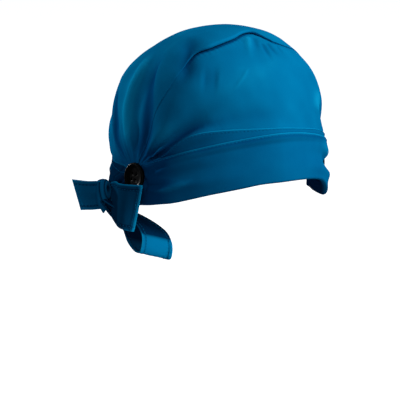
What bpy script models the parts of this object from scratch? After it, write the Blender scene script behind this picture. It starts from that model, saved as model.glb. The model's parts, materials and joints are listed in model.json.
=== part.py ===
"""Cloth cap with a gathered crown, a deep front band, two side buttons and a ribbon tied at the side.

Metres. +X is the wearer's left, -Y the front, +Z up. The origin is the middle of the head
opening, level with the lowest edge of the band beside the ears.
"""

import math

import bmesh
import bpy
from mathutils import Matrix, Vector

# Head opening and seams, measured to the outside of the cloth
HEAD_WIDTH = 0.160            # across the ears
FRONT_LENGTH = 0.0715         # front seam ahead of the ear gathers, measured level
BACK_LENGTH = 0.088           # back seam behind the ear gathers, measured level
EAR_SPREAD = 0.036            # length of seam into which the crown is gathered over each ear
EAR_SEAM_HEIGHT = 0.027       # top of the band above its edge, beside the ears
FRONT_SEAM_RISE = 24.0        # degrees, the front seam climbs towards the forehead
BACK_SEAM_DROP = 3.0          # degrees, the back seam falls towards the nape

# Crown
CROWN_RISE = 0.110            # top of the crown above the ear seam
PANEL_SEAM = 76.0             # degrees round the ear line, seam between front panel and bag
PANEL_DIP = 12.0              # degrees, the panel seam runs further forward on the sides
DIP_TURN = 60.0               # degrees from the middle where that dip is reached
BAG_PUFF = 0.004              # how far the gathered bag stands out at its corners
BAG_STEP = 0.0025             # the bag's edge rolls up over the front panel
BAG_ROLL = 3.0                # degrees behind the panel seam in which it does so
BAG_ROLL_FADE = 0.25          # height of a hoop, as a share, below which the roll flattens out
FOLD_DEPTH = 0.0035           # deepest fold of the crown
FOLD_START = 0.25             # share of a fold's run in which it rises from the gathers
FOLD_FADE = 0.45              # share of a fold's run in which it dies away
FOLD_MARGIN = 8.0             # degrees from the lower seams in which folds are pressed flat

# Band, ribbon and cloth
FRONT_EDGE_RISE = 0.032       # lower edge of the band at the forehead
BAND_LEAN = 0.007             # the band's lower edge stands out beyond its seam
BAND_FLARE = 0.004            # extra flare of the lower fold on the left side
GATHER_DEPTH = 0.0026         # pleats of the band where it runs in under a button
BUNCH = 0.0085                # the gathered cloth stands out behind each button
BUNCH_STATION = 95.0          # degrees round from the front, highest point of the bunched cloth
BUNCH_FADE = 22.0             # degrees to either side in which it dies away
PLEAT_EASE = 0.15             # share of the band below its seam in which its pleats rise
BUNCH_EASE = 0.30             # share of the band or ribbon below the seam in which it bunches up
RIBBON_WIDTH = 0.028
RIBBON_PULL = 0.0035          # the knot pulls the ribbon away from the head
PULL_FADE = 26.0              # degrees to either side of the knot in which that dies away
CLOTH = 0.0015                # wall of the crown and band
RIBBON_CLOTH = 0.0012         # wall of the ribbon
SEAM_GAP = 0.0005             # clearance between two walls that meet edge to edge
SEAT_GAP = 0.0003             # clearance of a piece that rests on another
SEAT_SPAN = 9.0               # degrees to either side in which a seat is looked for

# Buttons
BUTTON_DIAMETER = 0.0225
BUTTON_THICKNESS = 0.0036
BUTTON_RIM = 0.0026           # width of the raised rim
BUTTON_DISH = 0.0011          # depth of the dished face below the rim
BUTTON_HOLE = 0.0022          # diameter of one thread hole
BUTTON_HOLE_PITCH = 0.0044    # side of the square on which the four holes lie
BUTTON_STATION = 80.5         # degrees round the band from the front
BUTTON_SHARE = 0.72           # share of the band's height
BUTTON_SIDES = 32
HOLE_SIDES = 12

# Knot and bow
KNOT_STATION = 250.0          # degrees round the ribbon from the front, past the nape
KNOT_WIDTH = 0.0135           # away from the head
KNOT_LENGTH = 0.015           # along the ribbon
KNOT_HEIGHT = 0.026
KNOT_DROP = 0.0112            # knot centre below the middle of the ribbon
KNOT_SQUARE = 3.0             # exponent of its squared egg, 2 is an ellipsoid
KNOT_GROOVE = 0.05            # depth of the wrapped turns as a share of its half width
KNOT_TURNS = 9.0              # wrapped turns seen round the knot
BACK_TAIL_LENGTH = 0.0195
BACK_TAIL_SWING = 0.30        # slope at which it points away from the front
FRONT_TAIL_LENGTH = 0.058
LOOP_DROP = 0.044
LOOP_REACH = 0.045

FIRST_HOOP = FRONT_SEAM_RISE
LAST_HOOP = 180.0 + BACK_SEAM_DROP
TOP_HOOP = 90.0

# Crown hoops run from ear to ear. reach is a share of the radius that eases from the front seam to
# the top and on to the back seam, square and square_left set how boxy the hoop is on each side
# (2 is an ellipse), puff is a share of BAG_PUFF.
HOOPS = {
    "angle": (FIRST_HOOP, 45.0, 60.0, 75.0, TOP_HOOP, 115.0, 140.0, 165.0, LAST_HOOP),
    "reach": (1.0, 1.065, 1.075, 1.02, 0.97, 0.995, 1.10, 1.12, 1.0),
    "square": (1.7, 2.0, 2.5, 2.6, 2.4, 2.3, 2.2, 2.1, 2.0),
    "square_left": (1.65, 1.9, 2.2, 2.05, 1.8, 1.8, 2.0, 2.1, 2.0),
    "puff": (0.0, 0.0, 0.0, 0.3, 0.6, 1.0, 1.0, 0.8, 0.0),
}

# Folds that run up the crown from an ear gather. low and high are the fold's angle at the ear and
# at its upper end, width its half width in degrees, depth a share of FOLD_DEPTH (minus is a valley),
# start and end where it begins and fades, in degrees from the middle (minus is the right side).
FOLDS = (
    {"low": 34.0, "high": 34.0, "width": 7.0, "depth": 0.8, "start": -86.0, "end": -15.0},
    {"low": 44.0, "high": 43.0, "width": 4.0, "depth": -0.9, "start": -88.0, "end": -25.0},
    {"low": 80.0, "high": 99.0, "width": 8.0, "depth": -1.0, "start": -88.0, "end": -20.0},
    {"low": 140.0, "high": 112.0, "width": 9.0, "depth": 0.9, "start": -88.0, "end": -25.0},
    {"low": 160.0, "high": 138.0, "width": 7.0, "depth": -0.7, "start": -86.0, "end": -15.0},
    {"low": 46.0, "high": 44.0, "width": 5.0, "depth": -0.6, "start": 88.0, "end": 30.0},
    {"low": 82.0, "high": 96.0, "width": 8.0, "depth": -0.8, "start": 88.0, "end": 20.0},
    {"low": 120.0, "high": 118.0, "width": 8.0, "depth": 0.6, "start": 86.0, "end": 25.0},
    {"low": 158.0, "high": 140.0, "width": 7.0, "depth": -0.7, "start": 86.0, "end": 15.0},
)

# Lower edge of the band round the front, by station in degrees from the front (minus is the right
# side). rise is a share of FRONT_EDGE_RISE, lean of BAND_LEAN, flare of BAND_FLARE and pleat of
# GATHER_DEPTH.
BAND_EDGE = {
    "station": (-90.0, -75.0, -60.0, -30.0, 0.0, 30.0, 50.0, 65.0, 90.0),
    "rise": (0.00, 0.18, 0.42, 0.84, 1.00, 0.74, 0.24, -0.10, -0.18),
    "lean": (0.0, 0.2, 0.5, 0.9, 1.0, 0.8, 0.4, 0.2, 0.0),
    "flare": (0.0, 0.0, 0.0, 0.0, 0.0, 0.2, 0.6, 0.6, 0.0),
    "pleat": (0.0, 0.7, 0.6, 0.2, 0.0, 0.4, 1.0, 1.0, 0.0),
}

# Pleats of the band that run in under each button: height at the button and where they fade out,
# both as shares of the band's height.
BAND_GATHERS = (
    {"low": 0.50, "high": 0.22, "width": 0.13, "depth": 1.0},
    {"low": 0.58, "high": 0.52, "width": 0.12, "depth": -0.8},
    {"low": 0.68, "high": 0.80, "width": 0.12, "depth": 0.7},
)
GATHER_END = 38.0             # station where the band's pleats have faded out
EAR_STATION = 78.0            # station where the front seam meets the ear gathers

# Facets
HOOP_STEPS = 36               # crown, band and ribbon from ear to ear
FRONT_STEPS = 12              # front panel from its seam to the panel seam
BACK_STEPS = 26               # bag from the panel seam to the nape
BAND_STEPS = 7                # band from its edge to its seam
EAR_STEPS = 3                 # band or ribbon along half of an ear gather
RIBBON_STEPS = 3              # ribbon from border to border
TAIL_STEPS = 10               # a tail from the knot to its end
LOOP_STEPS = 36               # the bow's loop from the knot round to the knot

BLUE = (0.010, 0.150, 0.300, 1.0)
BLACK = (0.010, 0.010, 0.012, 1.0)


def new_collection(name):
    """Make an empty collection and link it to the scene."""
    group = bpy.data.collections.new(name)
    bpy.context.scene.collection.children.link(group)
    return group


def make_material(name, colour, roughness, metallic=0.0):
    """Principled material of one sub-part."""
    material = bpy.data.materials.new(name)
    material.use_nodes = True
    shader = material.node_tree.nodes["Principled BSDF"]
    shader.inputs["Base Color"].default_value = colour
    shader.inputs["Roughness"].default_value = roughness
    shader.inputs["Metallic"].default_value = metallic
    material.diffuse_color = colour
    return material


def smooth_step(value):
    """Ease from 0 to 1."""
    value = min(max(value, 0.0), 1.0)
    return value * value * (3.0 - 2.0 * value)


def read_table(table, key_column, column, key):
    """Smooth value of one column between the rows of a table."""
    keys = table[key_column]
    values = table[column]
    key = min(max(key, keys[0]), keys[-1])
    row = 0
    while row < len(keys) - 2 and key > keys[row + 1]:
        row += 1

    def slope(index):
        before = max(index - 1, 0)
        after = min(index + 1, len(keys) - 1)
        return (values[after] - values[before]) / (keys[after] - keys[before])

    span = keys[row + 1] - keys[row]
    share = (key - keys[row]) / span
    ease = smooth_step(share)
    lead = share * (1.0 - share) ** 2 * span * slope(row)
    trail = share * share * (1.0 - share) * span * slope(row + 1)
    return values[row] * (1.0 - ease) + values[row + 1] * ease + lead - trail


def fold_height(angle, turn):
    """How far the folds lift or sink the crown at a hoop angle and a turn from ear to ear."""
    height = 0.0
    for fold in FOLDS:
        share = (turn - fold["start"]) / (fold["end"] - fold["start"])
        if 0.0 < share < 1.0:
            middle = fold["low"] + (fold["high"] - fold["low"]) * share
            across = (angle - middle) / fold["width"]
            window = smooth_step(share / FOLD_START) * smooth_step((1.0 - share) / FOLD_FADE)
            height += fold["depth"] * window * math.exp(-across * across)
    edge = min(angle - FIRST_HOOP, LAST_HOOP - angle)
    return height * FOLD_DEPTH * smooth_step(edge / FOLD_MARGIN)


def ear_point(angle):
    """End of a hoop: its place along the seam into which the crown is gathered over the ear."""
    y = EAR_SPREAD * ((angle - FIRST_HOOP) / (LAST_HOOP - FIRST_HOOP) - 0.5)
    climb = FRONT_SEAM_RISE if y < 0.0 else BACK_SEAM_DROP
    return y, EAR_SEAM_HEIGHT - y * math.tan(math.radians(climb))


def hoop_radius(angle):
    """Radius of the crown from the ear line, which eases from seam to top to seam."""
    if angle < TOP_HOOP:
        seam = FRONT_LENGTH / math.cos(math.radians(FRONT_SEAM_RISE))
        climb = (angle - FIRST_HOOP) / (TOP_HOOP - FIRST_HOOP)
    else:
        seam = BACK_LENGTH / math.cos(math.radians(BACK_SEAM_DROP))
        climb = (LAST_HOOP - angle) / (LAST_HOOP - TOP_HOOP)
    radius = seam + (CROWN_RISE - seam) * smooth_step(climb)
    return radius * read_table(HOOPS, "angle", "reach", angle)


def dipped_angle(angle, turn):
    """Angle of a crown row, which the panel seam's dip towards the sides draws forward."""
    if angle < PANEL_SEAM:
        pull = smooth_step((angle - FIRST_HOOP) / (PANEL_SEAM - FIRST_HOOP))
    else:
        pull = smooth_step((LAST_HOOP - angle) / (LAST_HOOP - PANEL_SEAM))
    return angle - PANEL_DIP * pull * smooth_step(abs(turn) / DIP_TURN)


def crown_point(angle, turn):
    """Outside of the crown. angle turns from the front seam over the top to the back seam."""
    side = math.sin(math.radians(turn))
    rise = math.cos(math.radians(turn))
    step = smooth_step((angle - PANEL_SEAM) / BAG_ROLL) * smooth_step(rise / BAG_ROLL_FADE)
    angle = dipped_angle(angle, turn)
    square = read_table(HOOPS, "angle", "square" if turn < 0.0 else "square_left", angle)
    reach = hoop_radius(angle)
    puff = BAG_PUFF * read_table(HOOPS, "angle", "puff", angle)
    ear_y, ear_z = ear_point(angle)
    scale = (abs(side) ** square + abs(rise) ** square) ** (-1.0 / square)
    lift = fold_height(angle, turn) + BAG_STEP * step
    x = (0.5 * HEAD_WIDTH * scale + lift) * side + puff * math.sin(math.radians(2.0 * turn))
    out = (reach * scale + lift) * rise
    lean = math.radians(angle)
    return Vector((x, ear_y - out * math.cos(lean), ear_z + out * math.sin(lean)))


def seam_point(station):
    """Outside of the cap where the crown is sewn to the band and the ribbon."""
    station = (station + 180.0) % 360.0 - 180.0
    side = math.copysign(1.0, station)
    around = abs(station)
    if around <= EAR_STATION:
        return crown_point(FIRST_HOOP, 90.0 * station / EAR_STATION)
    if around >= 180.0 - EAR_STATION:
        return crown_point(LAST_HOOP, side * 90.0 * (180.0 - around) / EAR_STATION)
    share = (around - EAR_STATION) / (180.0 - 2.0 * EAR_STATION)
    return crown_point(FIRST_HOOP + share * (LAST_HOOP - FIRST_HOOP), side * 90.0)


def seam_outward(station):
    """Level direction away from the head at a station of the seam."""
    along = seam_point(station + 1.0) - seam_point(station - 1.0)
    return Vector((along.y, -along.x, 0.0)).normalized()


def bunch(station):
    """How far the gathered cloth stands out near an ear."""
    away = abs(abs(station) - BUNCH_STATION) / BUNCH_FADE
    return BUNCH * (1.0 - smooth_step(away))


def band_point(station, share):
    """Outside of the band, from its lower edge (share 0) to the seam (share 1)."""
    seam = seam_point(station)
    outward = seam_outward(station)
    rise = FRONT_EDGE_RISE * read_table(BAND_EDGE, "station", "rise", station)
    lean = BAND_LEAN * read_table(BAND_EDGE, "station", "lean", station)
    flare = BAND_FLARE * read_table(BAND_EDGE, "station", "flare", station)
    height = seam.z - SEAM_GAP - rise
    below = 1.0 - share
    pleats = 0.0
    fade = 1.0 - smooth_step((BUTTON_STATION - abs(station)) / (BUTTON_STATION - GATHER_END))
    for gather in BAND_GATHERS:
        middle = gather["high"] + (gather["low"] - gather["high"]) * fade
        across = (share - middle) / gather["width"]
        pleats += gather["depth"] * math.exp(-across * across)
    pleats *= GATHER_DEPTH * read_table(BAND_EDGE, "station", "pleat", station)
    pleats *= smooth_step(below / PLEAT_EASE)
    swell = bunch(station) * smooth_step(below / BUNCH_EASE)
    out = lean * math.sin(0.5 * math.pi * below) + flare * below * below + pleats + swell
    point = seam + outward * out
    point.z = rise + height * share
    return point


def ribbon_pull(station):
    """How far the knot draws the ribbon away from the head."""
    away = abs(station - KNOT_STATION) / PULL_FADE
    return RIBBON_PULL * (1.0 - smooth_step(away))


def ribbon_point(station, share):
    """Outside of the ribbon round the back, from its lower edge to its upper edge."""
    seam = seam_point(station)
    below = 1.0 - share
    swell = bunch(min(station, 360.0 - station)) * smooth_step(below / BUNCH_EASE)
    point = seam + seam_outward(station) * (ribbon_pull(station) + swell)
    point.z = seam.z - SEAM_GAP - RIBBON_WIDTH * below
    return point


def steps(first, last, count):
    """Evenly spaced values with both ends included."""
    return [first + (last - first) * index / count for index in range(count + 1)]


def cloth_object(name, rows, thickness, offset, material, group):
    """Loft an open sheet through rows of points and give it a wall."""
    mesh = bpy.data.meshes.new(name)
    across = len(rows[0])
    points = [point for row in rows for point in row]
    faces = []
    for row in range(len(rows) - 1):
        for column in range(across - 1):
            corner = row * across + column
            faces.append((corner, corner + across, corner + across + 1, corner + 1))
    mesh.from_pydata(points, [], faces)
    mesh.shade_smooth()
    thing = bpy.data.objects.new(name, mesh)
    group.objects.link(thing)
    wall = thing.modifiers.new("wall", "SOLIDIFY")
    wall.thickness = thickness
    wall.offset = offset
    mesh.materials.append(material)
    return thing


def build_crown(group, cloth):
    """Front panel and gathered bag, seamed from ear to ear."""
    turns = steps(-90.0, 90.0, HOOP_STEPS)
    gap = math.degrees(SEAM_GAP / CROWN_RISE)
    panels = (
        ("crown_front", steps(FIRST_HOOP, PANEL_SEAM - 0.5 * gap, FRONT_STEPS)),
        ("crown_back", steps(PANEL_SEAM + 0.5 * gap, LAST_HOOP, BACK_STEPS)),
    )
    for name, angles in panels:
        rows = [[crown_point(angle, turn) for angle in angles] for turn in turns]
        cloth_object(name, rows, CLOTH, -1.0, cloth, group)


def build_band(group, cloth):
    """Deep band round the front, from behind one button to behind the other."""
    ear = steps(EAR_STATION, 90.0, EAR_STEPS)[1:]
    stations = [-station for station in reversed(ear)]
    stations += steps(-EAR_STATION, EAR_STATION, HOOP_STEPS) + ear
    shares = steps(0.0, 1.0, BAND_STEPS)
    rows = [[band_point(station, share) for share in shares] for station in stations]
    cloth_object("headband", rows, CLOTH, -1.0, cloth, group)


def build_ribbon(group, cloth):
    """Ribbon from the left button round the nape to the right button."""
    gap = SEAM_GAP * (180.0 - 2.0 * EAR_STATION) / EAR_SPREAD
    ear = steps(90.0 + gap, 180.0 - EAR_STATION, EAR_STEPS)[:-1]
    stations = ear + steps(180.0 - EAR_STATION, 180.0 + EAR_STATION, HOOP_STEPS)
    stations += [360.0 - station for station in reversed(ear)]
    shares = steps(0.0, 1.0, RIBBON_STEPS)
    rows = [[ribbon_point(station, share) for share in shares] for station in stations]
    cloth_object("strap_back", rows, RIBBON_CLOTH, -1.0, cloth, group)


def cloth_around(surface, station):
    """Points of a cloth surface near a station."""
    near = steps(station - SEAT_SPAN, station + SEAT_SPAN, 24)
    return [surface(place, share) for place in near for share in steps(0.0, 1.0, 16)]


def button_seat(station):
    """Middle of a button's back, clear of every pleat under it, and the direction it faces."""
    seat = band_point(station, BUTTON_SHARE)
    along = band_point(station + 3.0, BUTTON_SHARE) - band_point(station - 3.0, BUTTON_SHARE)
    upward = band_point(station, BUTTON_SHARE + 0.1) - band_point(station, BUTTON_SHARE - 0.1)
    normal = along.cross(upward).normalized()
    highest = 0.0
    for point in cloth_around(band_point, station):
        offset = point - seat
        height = offset.dot(normal)
        if (offset - normal * height).length < 0.5 * BUTTON_DIAMETER + SEAT_GAP:
            highest = max(highest, height)
    return seat + normal * (highest + SEAT_GAP), normal


def build_button(name, station, group, cutters, plastic):
    """Four-hole button seated on the band."""
    radius = 0.5 * BUTTON_DIAMETER
    inner = radius - BUTTON_RIM
    edge = 0.25 * BUTTON_THICKNESS
    profile = (
        (0.0, BUTTON_THICKNESS - BUTTON_DISH),
        (inner - edge, BUTTON_THICKNESS - BUTTON_DISH),
        (inner, BUTTON_THICKNESS - 0.25 * BUTTON_DISH),
        (inner + 0.4 * BUTTON_RIM, BUTTON_THICKNESS),
        (radius - 0.6 * edge, BUTTON_THICKNESS - 0.3 * edge),
        (radius, BUTTON_THICKNESS - edge),
        (radius, edge),
        (radius - edge, 0.0),
        (0.0, 0.0),
    )
    mesh = bpy.data.meshes.new(name)
    points = [(x, 0.0, z) for x, z in profile]
    edges = [(index, index + 1) for index in range(len(points) - 1)]
    mesh.from_pydata(points, edges, [])
    button = bpy.data.objects.new(name, mesh)
    group.objects.link(button)
    mesh.materials.append(plastic)
    turn = button.modifiers.new("turn", "SCREW")
    turn.steps = BUTTON_SIDES
    turn.render_steps = BUTTON_SIDES
    turn.use_merge_vertices = True
    turn.merge_threshold = 0.00001
    for index in range(4):
        place = math.radians(45.0 + 90.0 * index)
        reach = BUTTON_HOLE_PITCH * math.sqrt(0.5)
        drill_mesh = bpy.data.meshes.new(f"{name}_drill_{index}")
        drill = bmesh.new()
        bmesh.ops.create_cone(
            drill,
            cap_ends=True,
            segments=HOLE_SIDES,
            radius1=0.5 * BUTTON_HOLE,
            radius2=0.5 * BUTTON_HOLE,
            depth=3.0 * BUTTON_THICKNESS,
            matrix=Matrix.Translation((reach * math.cos(place), reach * math.sin(place), 0.0)),
        )
        drill.to_mesh(drill_mesh)
        drill.free()
        cutter = bpy.data.objects.new(f"{name}_drill_{index}", drill_mesh)
        cutters.objects.link(cutter)
        cutter.parent = button
        cutter.hide_render = True
        cutter.display_type = "WIRE"
        hole = button.modifiers.new(f"hole_{index}", "BOOLEAN")
        hole.operation = "DIFFERENCE"
        hole.object = cutter
    seat, normal = button_seat(station)
    button.location = seat
    button.rotation_euler = normal.to_track_quat("Z", "Y").to_euler()


def knot_half_width(ahead, up):
    """Half the knot's width at a place on its face, or nothing outside its outline."""
    along = abs(2.0 * ahead / KNOT_LENGTH) ** KNOT_SQUARE
    climb = abs(2.0 * up / KNOT_HEIGHT) ** KNOT_SQUARE
    return 0.5 * KNOT_WIDTH * max(1.0 - along - climb, 0.0) ** (1.0 / KNOT_SQUARE)


def knot_frame():
    """Centre of the knot, with its directions away from the head and forward along the ribbon."""
    outward = seam_outward(KNOT_STATION)
    forward = Vector((outward.y, -outward.x, 0.0))
    if forward.y > 0.0:
        forward = -forward
    seat = ribbon_point(KNOT_STATION, 0.5)
    standoff = 0.0
    for point in cloth_around(ribbon_point, KNOT_STATION):
        offset = point - seat
        half = knot_half_width(offset.dot(forward), offset.z + KNOT_DROP)
        if half > 0.0:
            standoff = max(standoff, offset.dot(outward) + half)
    centre = seat + outward * (standoff + SEAT_GAP)
    centre.z -= KNOT_DROP
    return centre, outward, forward


def build_knot(group, cloth):
    """Wrapped knot: a squared egg with the turns of the ribbon pressed into it."""
    centre, outward, forward = knot_frame()
    mesh = bpy.data.meshes.new("knot")
    shape = bmesh.new()
    bmesh.ops.create_uvsphere(shape, u_segments=24, v_segments=16, radius=1.0)
    for corner in shape.verts:
        x, y, z = corner.co
        powers = abs(x) ** KNOT_SQUARE + abs(y) ** KNOT_SQUARE + abs(z) ** KNOT_SQUARE
        swell = powers ** (-1.0 / KNOT_SQUARE)
        wave = math.cos(KNOT_TURNS * math.atan2(z, x) + 2.0 * y)
        groove = 1.0 - KNOT_GROOVE * (0.5 + 0.5 * wave)
        local = Vector((x * groove, y, z * groove)) * swell
        out = outward * (0.5 * KNOT_WIDTH * local.x)
        ahead = forward * (0.5 * KNOT_LENGTH * local.y)
        corner.co = centre + out + ahead + Vector((0.0, 0.0, 0.5 * KNOT_HEIGHT * local.z))
    shape.to_mesh(mesh)
    shape.free()
    mesh.shade_smooth()
    mesh.materials.append(cloth)
    group.objects.link(bpy.data.objects.new("knot", mesh))


# Short free end that stands out behind the knot, its end cut on a slant. length is a share of
# BACK_TAIL_LENGTH for the lower and upper border, bottom and top are heights from the knot's centre
# and wave the curl of the cloth, all as shares of RIBBON_WIDTH.
BACK_TAIL = {
    "share": (0.0, 0.33, 0.67, 1.0),
    "length_low": (0.0, 0.22, 0.45, 0.68),
    "length_top": (0.0, 0.33, 0.67, 1.0),
    "bottom": (-0.42, -0.435, -0.44, -0.44),
    "top": (0.42, 0.445, 0.48, 0.52),
    "wave": (0.0, 0.016, -0.008, -0.012),
}


def build_back_tail(group, cloth):
    """Loft the short free end out from the knot's back."""
    centre, outward, forward = knot_frame()
    away = (outward - forward * BACK_TAIL_SWING).normalized()
    side = Vector((0.0, 0.0, 1.0)).cross(away)
    root = centre + outward * (0.5 * KNOT_WIDTH + SEAT_GAP + 0.5 * RIBBON_CLOTH)
    rows = []
    for share in steps(0.0, 1.0, TAIL_STEPS):
        low = BACK_TAIL_LENGTH * read_table(BACK_TAIL, "share", "length_low", share)
        high = BACK_TAIL_LENGTH * read_table(BACK_TAIL, "share", "length_top", share)
        bottom = RIBBON_WIDTH * read_table(BACK_TAIL, "share", "bottom", share)
        top = RIBBON_WIDTH * read_table(BACK_TAIL, "share", "top", share)
        wave = RIBBON_WIDTH * read_table(BACK_TAIL, "share", "wave", share)
        row = []
        for across in steps(0.0, 1.0, 4):
            point = root + away * (low + (high - low) * across) + side * wave
            row.append(point + Vector((0.0, 0.0, bottom + (top - bottom) * across)))
        rows.append(row)
    cloth_object("tail_back", rows, RIBBON_CLOTH, 0.0, cloth, group)


# Free end that runs forward past the button. ahead is a share of FRONT_TAIL_LENGTH for the upper
# and lower border, top and bottom are heights from the knot as shares of RIBBON_WIDTH, out is how
# far the cloth stands outside the knot's centre, as a share of KNOT_WIDTH.
FRONT_TAIL = {
    "share": (0.0, 0.25, 0.5, 0.75, 1.0),
    "ahead_top": (0.0, 0.28, 0.55, 0.80, 1.0),
    "ahead_low": (0.0, 0.20, 0.38, 0.54, 0.68),
    "top": (0.42, 0.50, 0.60, 0.72, 0.82),
    "bottom": (-0.44, -0.52, -0.58, -0.64, -0.70),
    "out": (0.38, 0.42, 0.38, 0.08, -0.35),
}


def build_front_tail(group, cloth):
    """Longer free end that hangs forward over the lower half of the button."""
    centre, outward, forward = knot_frame()
    root = centre + forward * (0.5 * KNOT_LENGTH + SEAT_GAP)
    rows = []
    for share in steps(0.0, 1.0, TAIL_STEPS):
        ahead_top = read_table(FRONT_TAIL, "share", "ahead_top", share)
        ahead_low = read_table(FRONT_TAIL, "share", "ahead_low", share)
        top = RIBBON_WIDTH * read_table(FRONT_TAIL, "share", "top", share)
        bottom = RIBBON_WIDTH * read_table(FRONT_TAIL, "share", "bottom", share)
        out = KNOT_WIDTH * read_table(FRONT_TAIL, "share", "out", share)
        row = []
        for across in steps(0.0, 1.0, 4):
            ahead = FRONT_TAIL_LENGTH * (ahead_low + (ahead_top - ahead_low) * across)
            height = bottom + (top - bottom) * across
            point = root + forward * ahead + outward * out
            row.append(point + Vector((0.0, 0.0, height)))
        rows.append(row)
    cloth_object("tail_front", rows, RIBBON_CLOTH, 0.0, cloth, group)


# Middle line of the bow's one loop, from the knot down its back layer, round the bend and up its
# front layer. ahead is a share of LOOP_REACH, down of LOOP_DROP, inboard of RIBBON_WIDTH, and wide
# the ribbon's opened width as a share of RIBBON_WIDTH.
BOW_LOOP = {
    "share": (0.0, 0.12, 0.28, 0.42, 0.52, 0.62, 0.76, 0.89, 1.0),
    "ahead": (0.0, 0.10, 0.20, 0.34, 0.60, 0.84, 0.98, 0.72, 0.0),
    "down": (0.26, 0.46, 0.68, 0.92, 1.00, 0.90, 0.56, 0.34, 0.08),
    "inboard": (0.00, 0.35, 0.78, 0.84, 0.84, 0.84, 0.84, 0.66, 0.00),
    "wide": (0.30, 0.66, 0.98, 1.00, 1.00, 1.00, 1.00, 0.90, 0.30),
}
LOOP_SLANT = 21.0             # degrees, the loop's inner edge hangs lower than its outer edge


def build_bow_loop(group, cloth):
    """Hanging loop of the half bow: a ribbon bent into a teardrop."""
    centre, outward, forward = knot_frame()
    root = centre + forward * (0.5 * KNOT_LENGTH + SEAT_GAP)
    slant = math.radians(LOOP_SLANT)
    full = -outward * math.cos(slant) - Vector((0.0, 0.0, math.sin(slant)))
    rows = []
    for share in steps(0.0, 1.0, LOOP_STEPS):
        ahead = LOOP_REACH * read_table(BOW_LOOP, "share", "ahead", share)
        down = LOOP_DROP * read_table(BOW_LOOP, "share", "down", share)
        inboard = RIBBON_WIDTH * read_table(BOW_LOOP, "share", "inboard", share)
        wide = RIBBON_WIDTH * read_table(BOW_LOOP, "share", "wide", share)
        middle = root + forward * ahead - outward * inboard
        middle.z -= down
        row = [middle + full * (wide * across) for across in steps(-0.5, 0.5, 4)]
        rows.append(row)
    cloth_object("bow_loop", rows, RIBBON_CLOTH, 0.0, cloth, group)


def main():
    """Clear the scene and build the cap."""
    for old in list(bpy.data.objects):
        bpy.data.objects.remove(old)
    cap = new_collection("scrub_cap")
    cutters = new_collection("cutters")
    cloth = make_material("cap_cloth", BLUE, 0.55)
    ribbon = make_material("ribbon_cloth", BLUE, 0.5)
    plastic = make_material("button_plastic", BLACK, 0.18)
    build_crown(cap, cloth)
    build_band(cap, cloth)
    build_ribbon(cap, ribbon)
    build_button("button_right", -BUTTON_STATION, cap, cutters, plastic)
    build_button("button_left", BUTTON_STATION, cap, cutters, plastic)
    build_knot(cap, ribbon)
    build_back_tail(cap, ribbon)
    build_front_tail(cap, ribbon)
    build_bow_loop(cap, ribbon)


main()
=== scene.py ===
"""Looks of the cloth cap: gathered bag, front panel, turned band, side buttons and a half bow.

Metres and degrees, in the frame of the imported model: +X is the wearer's left, -Y the front and
+Z up. An angle turns from the crown's front seam over the top to its back seam, a turn goes from
the right ear (-90) to the left ear (90), and a station goes once round the lower seam, from the
middle of the front (0) past the left ear. The surfaces follow the sizes of the construction, and
folds, seams and stitches are added.
"""

import json
import math

import bmesh
import bpy
import numpy as np
from mathutils import Matrix, Vector

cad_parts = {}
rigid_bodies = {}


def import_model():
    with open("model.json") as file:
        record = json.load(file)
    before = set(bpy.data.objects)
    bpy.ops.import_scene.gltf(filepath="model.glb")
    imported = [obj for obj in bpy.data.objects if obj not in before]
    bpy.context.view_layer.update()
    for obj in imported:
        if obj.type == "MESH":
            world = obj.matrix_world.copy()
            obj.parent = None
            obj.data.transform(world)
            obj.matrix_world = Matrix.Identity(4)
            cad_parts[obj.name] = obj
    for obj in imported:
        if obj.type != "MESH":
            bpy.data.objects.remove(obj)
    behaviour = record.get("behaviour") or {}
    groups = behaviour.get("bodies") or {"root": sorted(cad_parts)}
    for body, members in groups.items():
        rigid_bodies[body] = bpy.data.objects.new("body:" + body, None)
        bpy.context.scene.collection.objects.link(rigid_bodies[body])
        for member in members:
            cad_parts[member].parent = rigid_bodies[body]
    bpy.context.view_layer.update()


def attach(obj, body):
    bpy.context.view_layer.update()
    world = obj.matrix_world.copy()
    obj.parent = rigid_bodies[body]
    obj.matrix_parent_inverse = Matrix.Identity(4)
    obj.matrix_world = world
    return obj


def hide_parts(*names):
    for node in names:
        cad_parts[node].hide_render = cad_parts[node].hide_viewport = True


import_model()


# Sizes of the construction that the cloth follows
HEAD_WIDTH = 0.160
FRONT_LENGTH = 0.0715
BACK_LENGTH = 0.088
EAR_SPREAD = 0.036
EAR_SEAM_HEIGHT = 0.027
FRONT_SEAM_RISE = 24.0
BACK_SEAM_DROP = 3.0
CROWN_RISE = 0.110
PANEL_SEAM = 76.0
PANEL_DIP = 12.0
DIP_TURN = 60.0
BAG_PUFF = 0.004
BAG_STEP = 0.0025
BAG_ROLL = 3.0
BAG_ROLL_FADE = 0.25
FOLD_DEPTH = 0.0035
FOLD_START = 0.25
FOLD_FADE = 0.45
FOLD_MARGIN = 8.0
FRONT_EDGE_RISE = 0.032
BAND_LEAN = 0.007
BAND_FLARE = 0.004
GATHER_DEPTH = 0.0026
GATHER_END = 38.0
BUNCH = 0.0085
BUNCH_STATION = 95.0
BUNCH_FADE = 22.0
PLEAT_EASE = 0.15
BUNCH_EASE = 0.30
RIBBON_WIDTH = 0.028
RIBBON_PULL = 0.0035
PULL_FADE = 26.0
SEAM_GAP = 0.0005
EAR_STATION = 78.0
BUTTON_STATION = 80.5
BUTTON_THICKNESS = 0.0036
KNOT_STATION = 250.0
FIRST_HOOP = FRONT_SEAM_RISE
LAST_HOOP = 180.0 + BACK_SEAM_DROP
TOP_HOOP = 90.0
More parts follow.
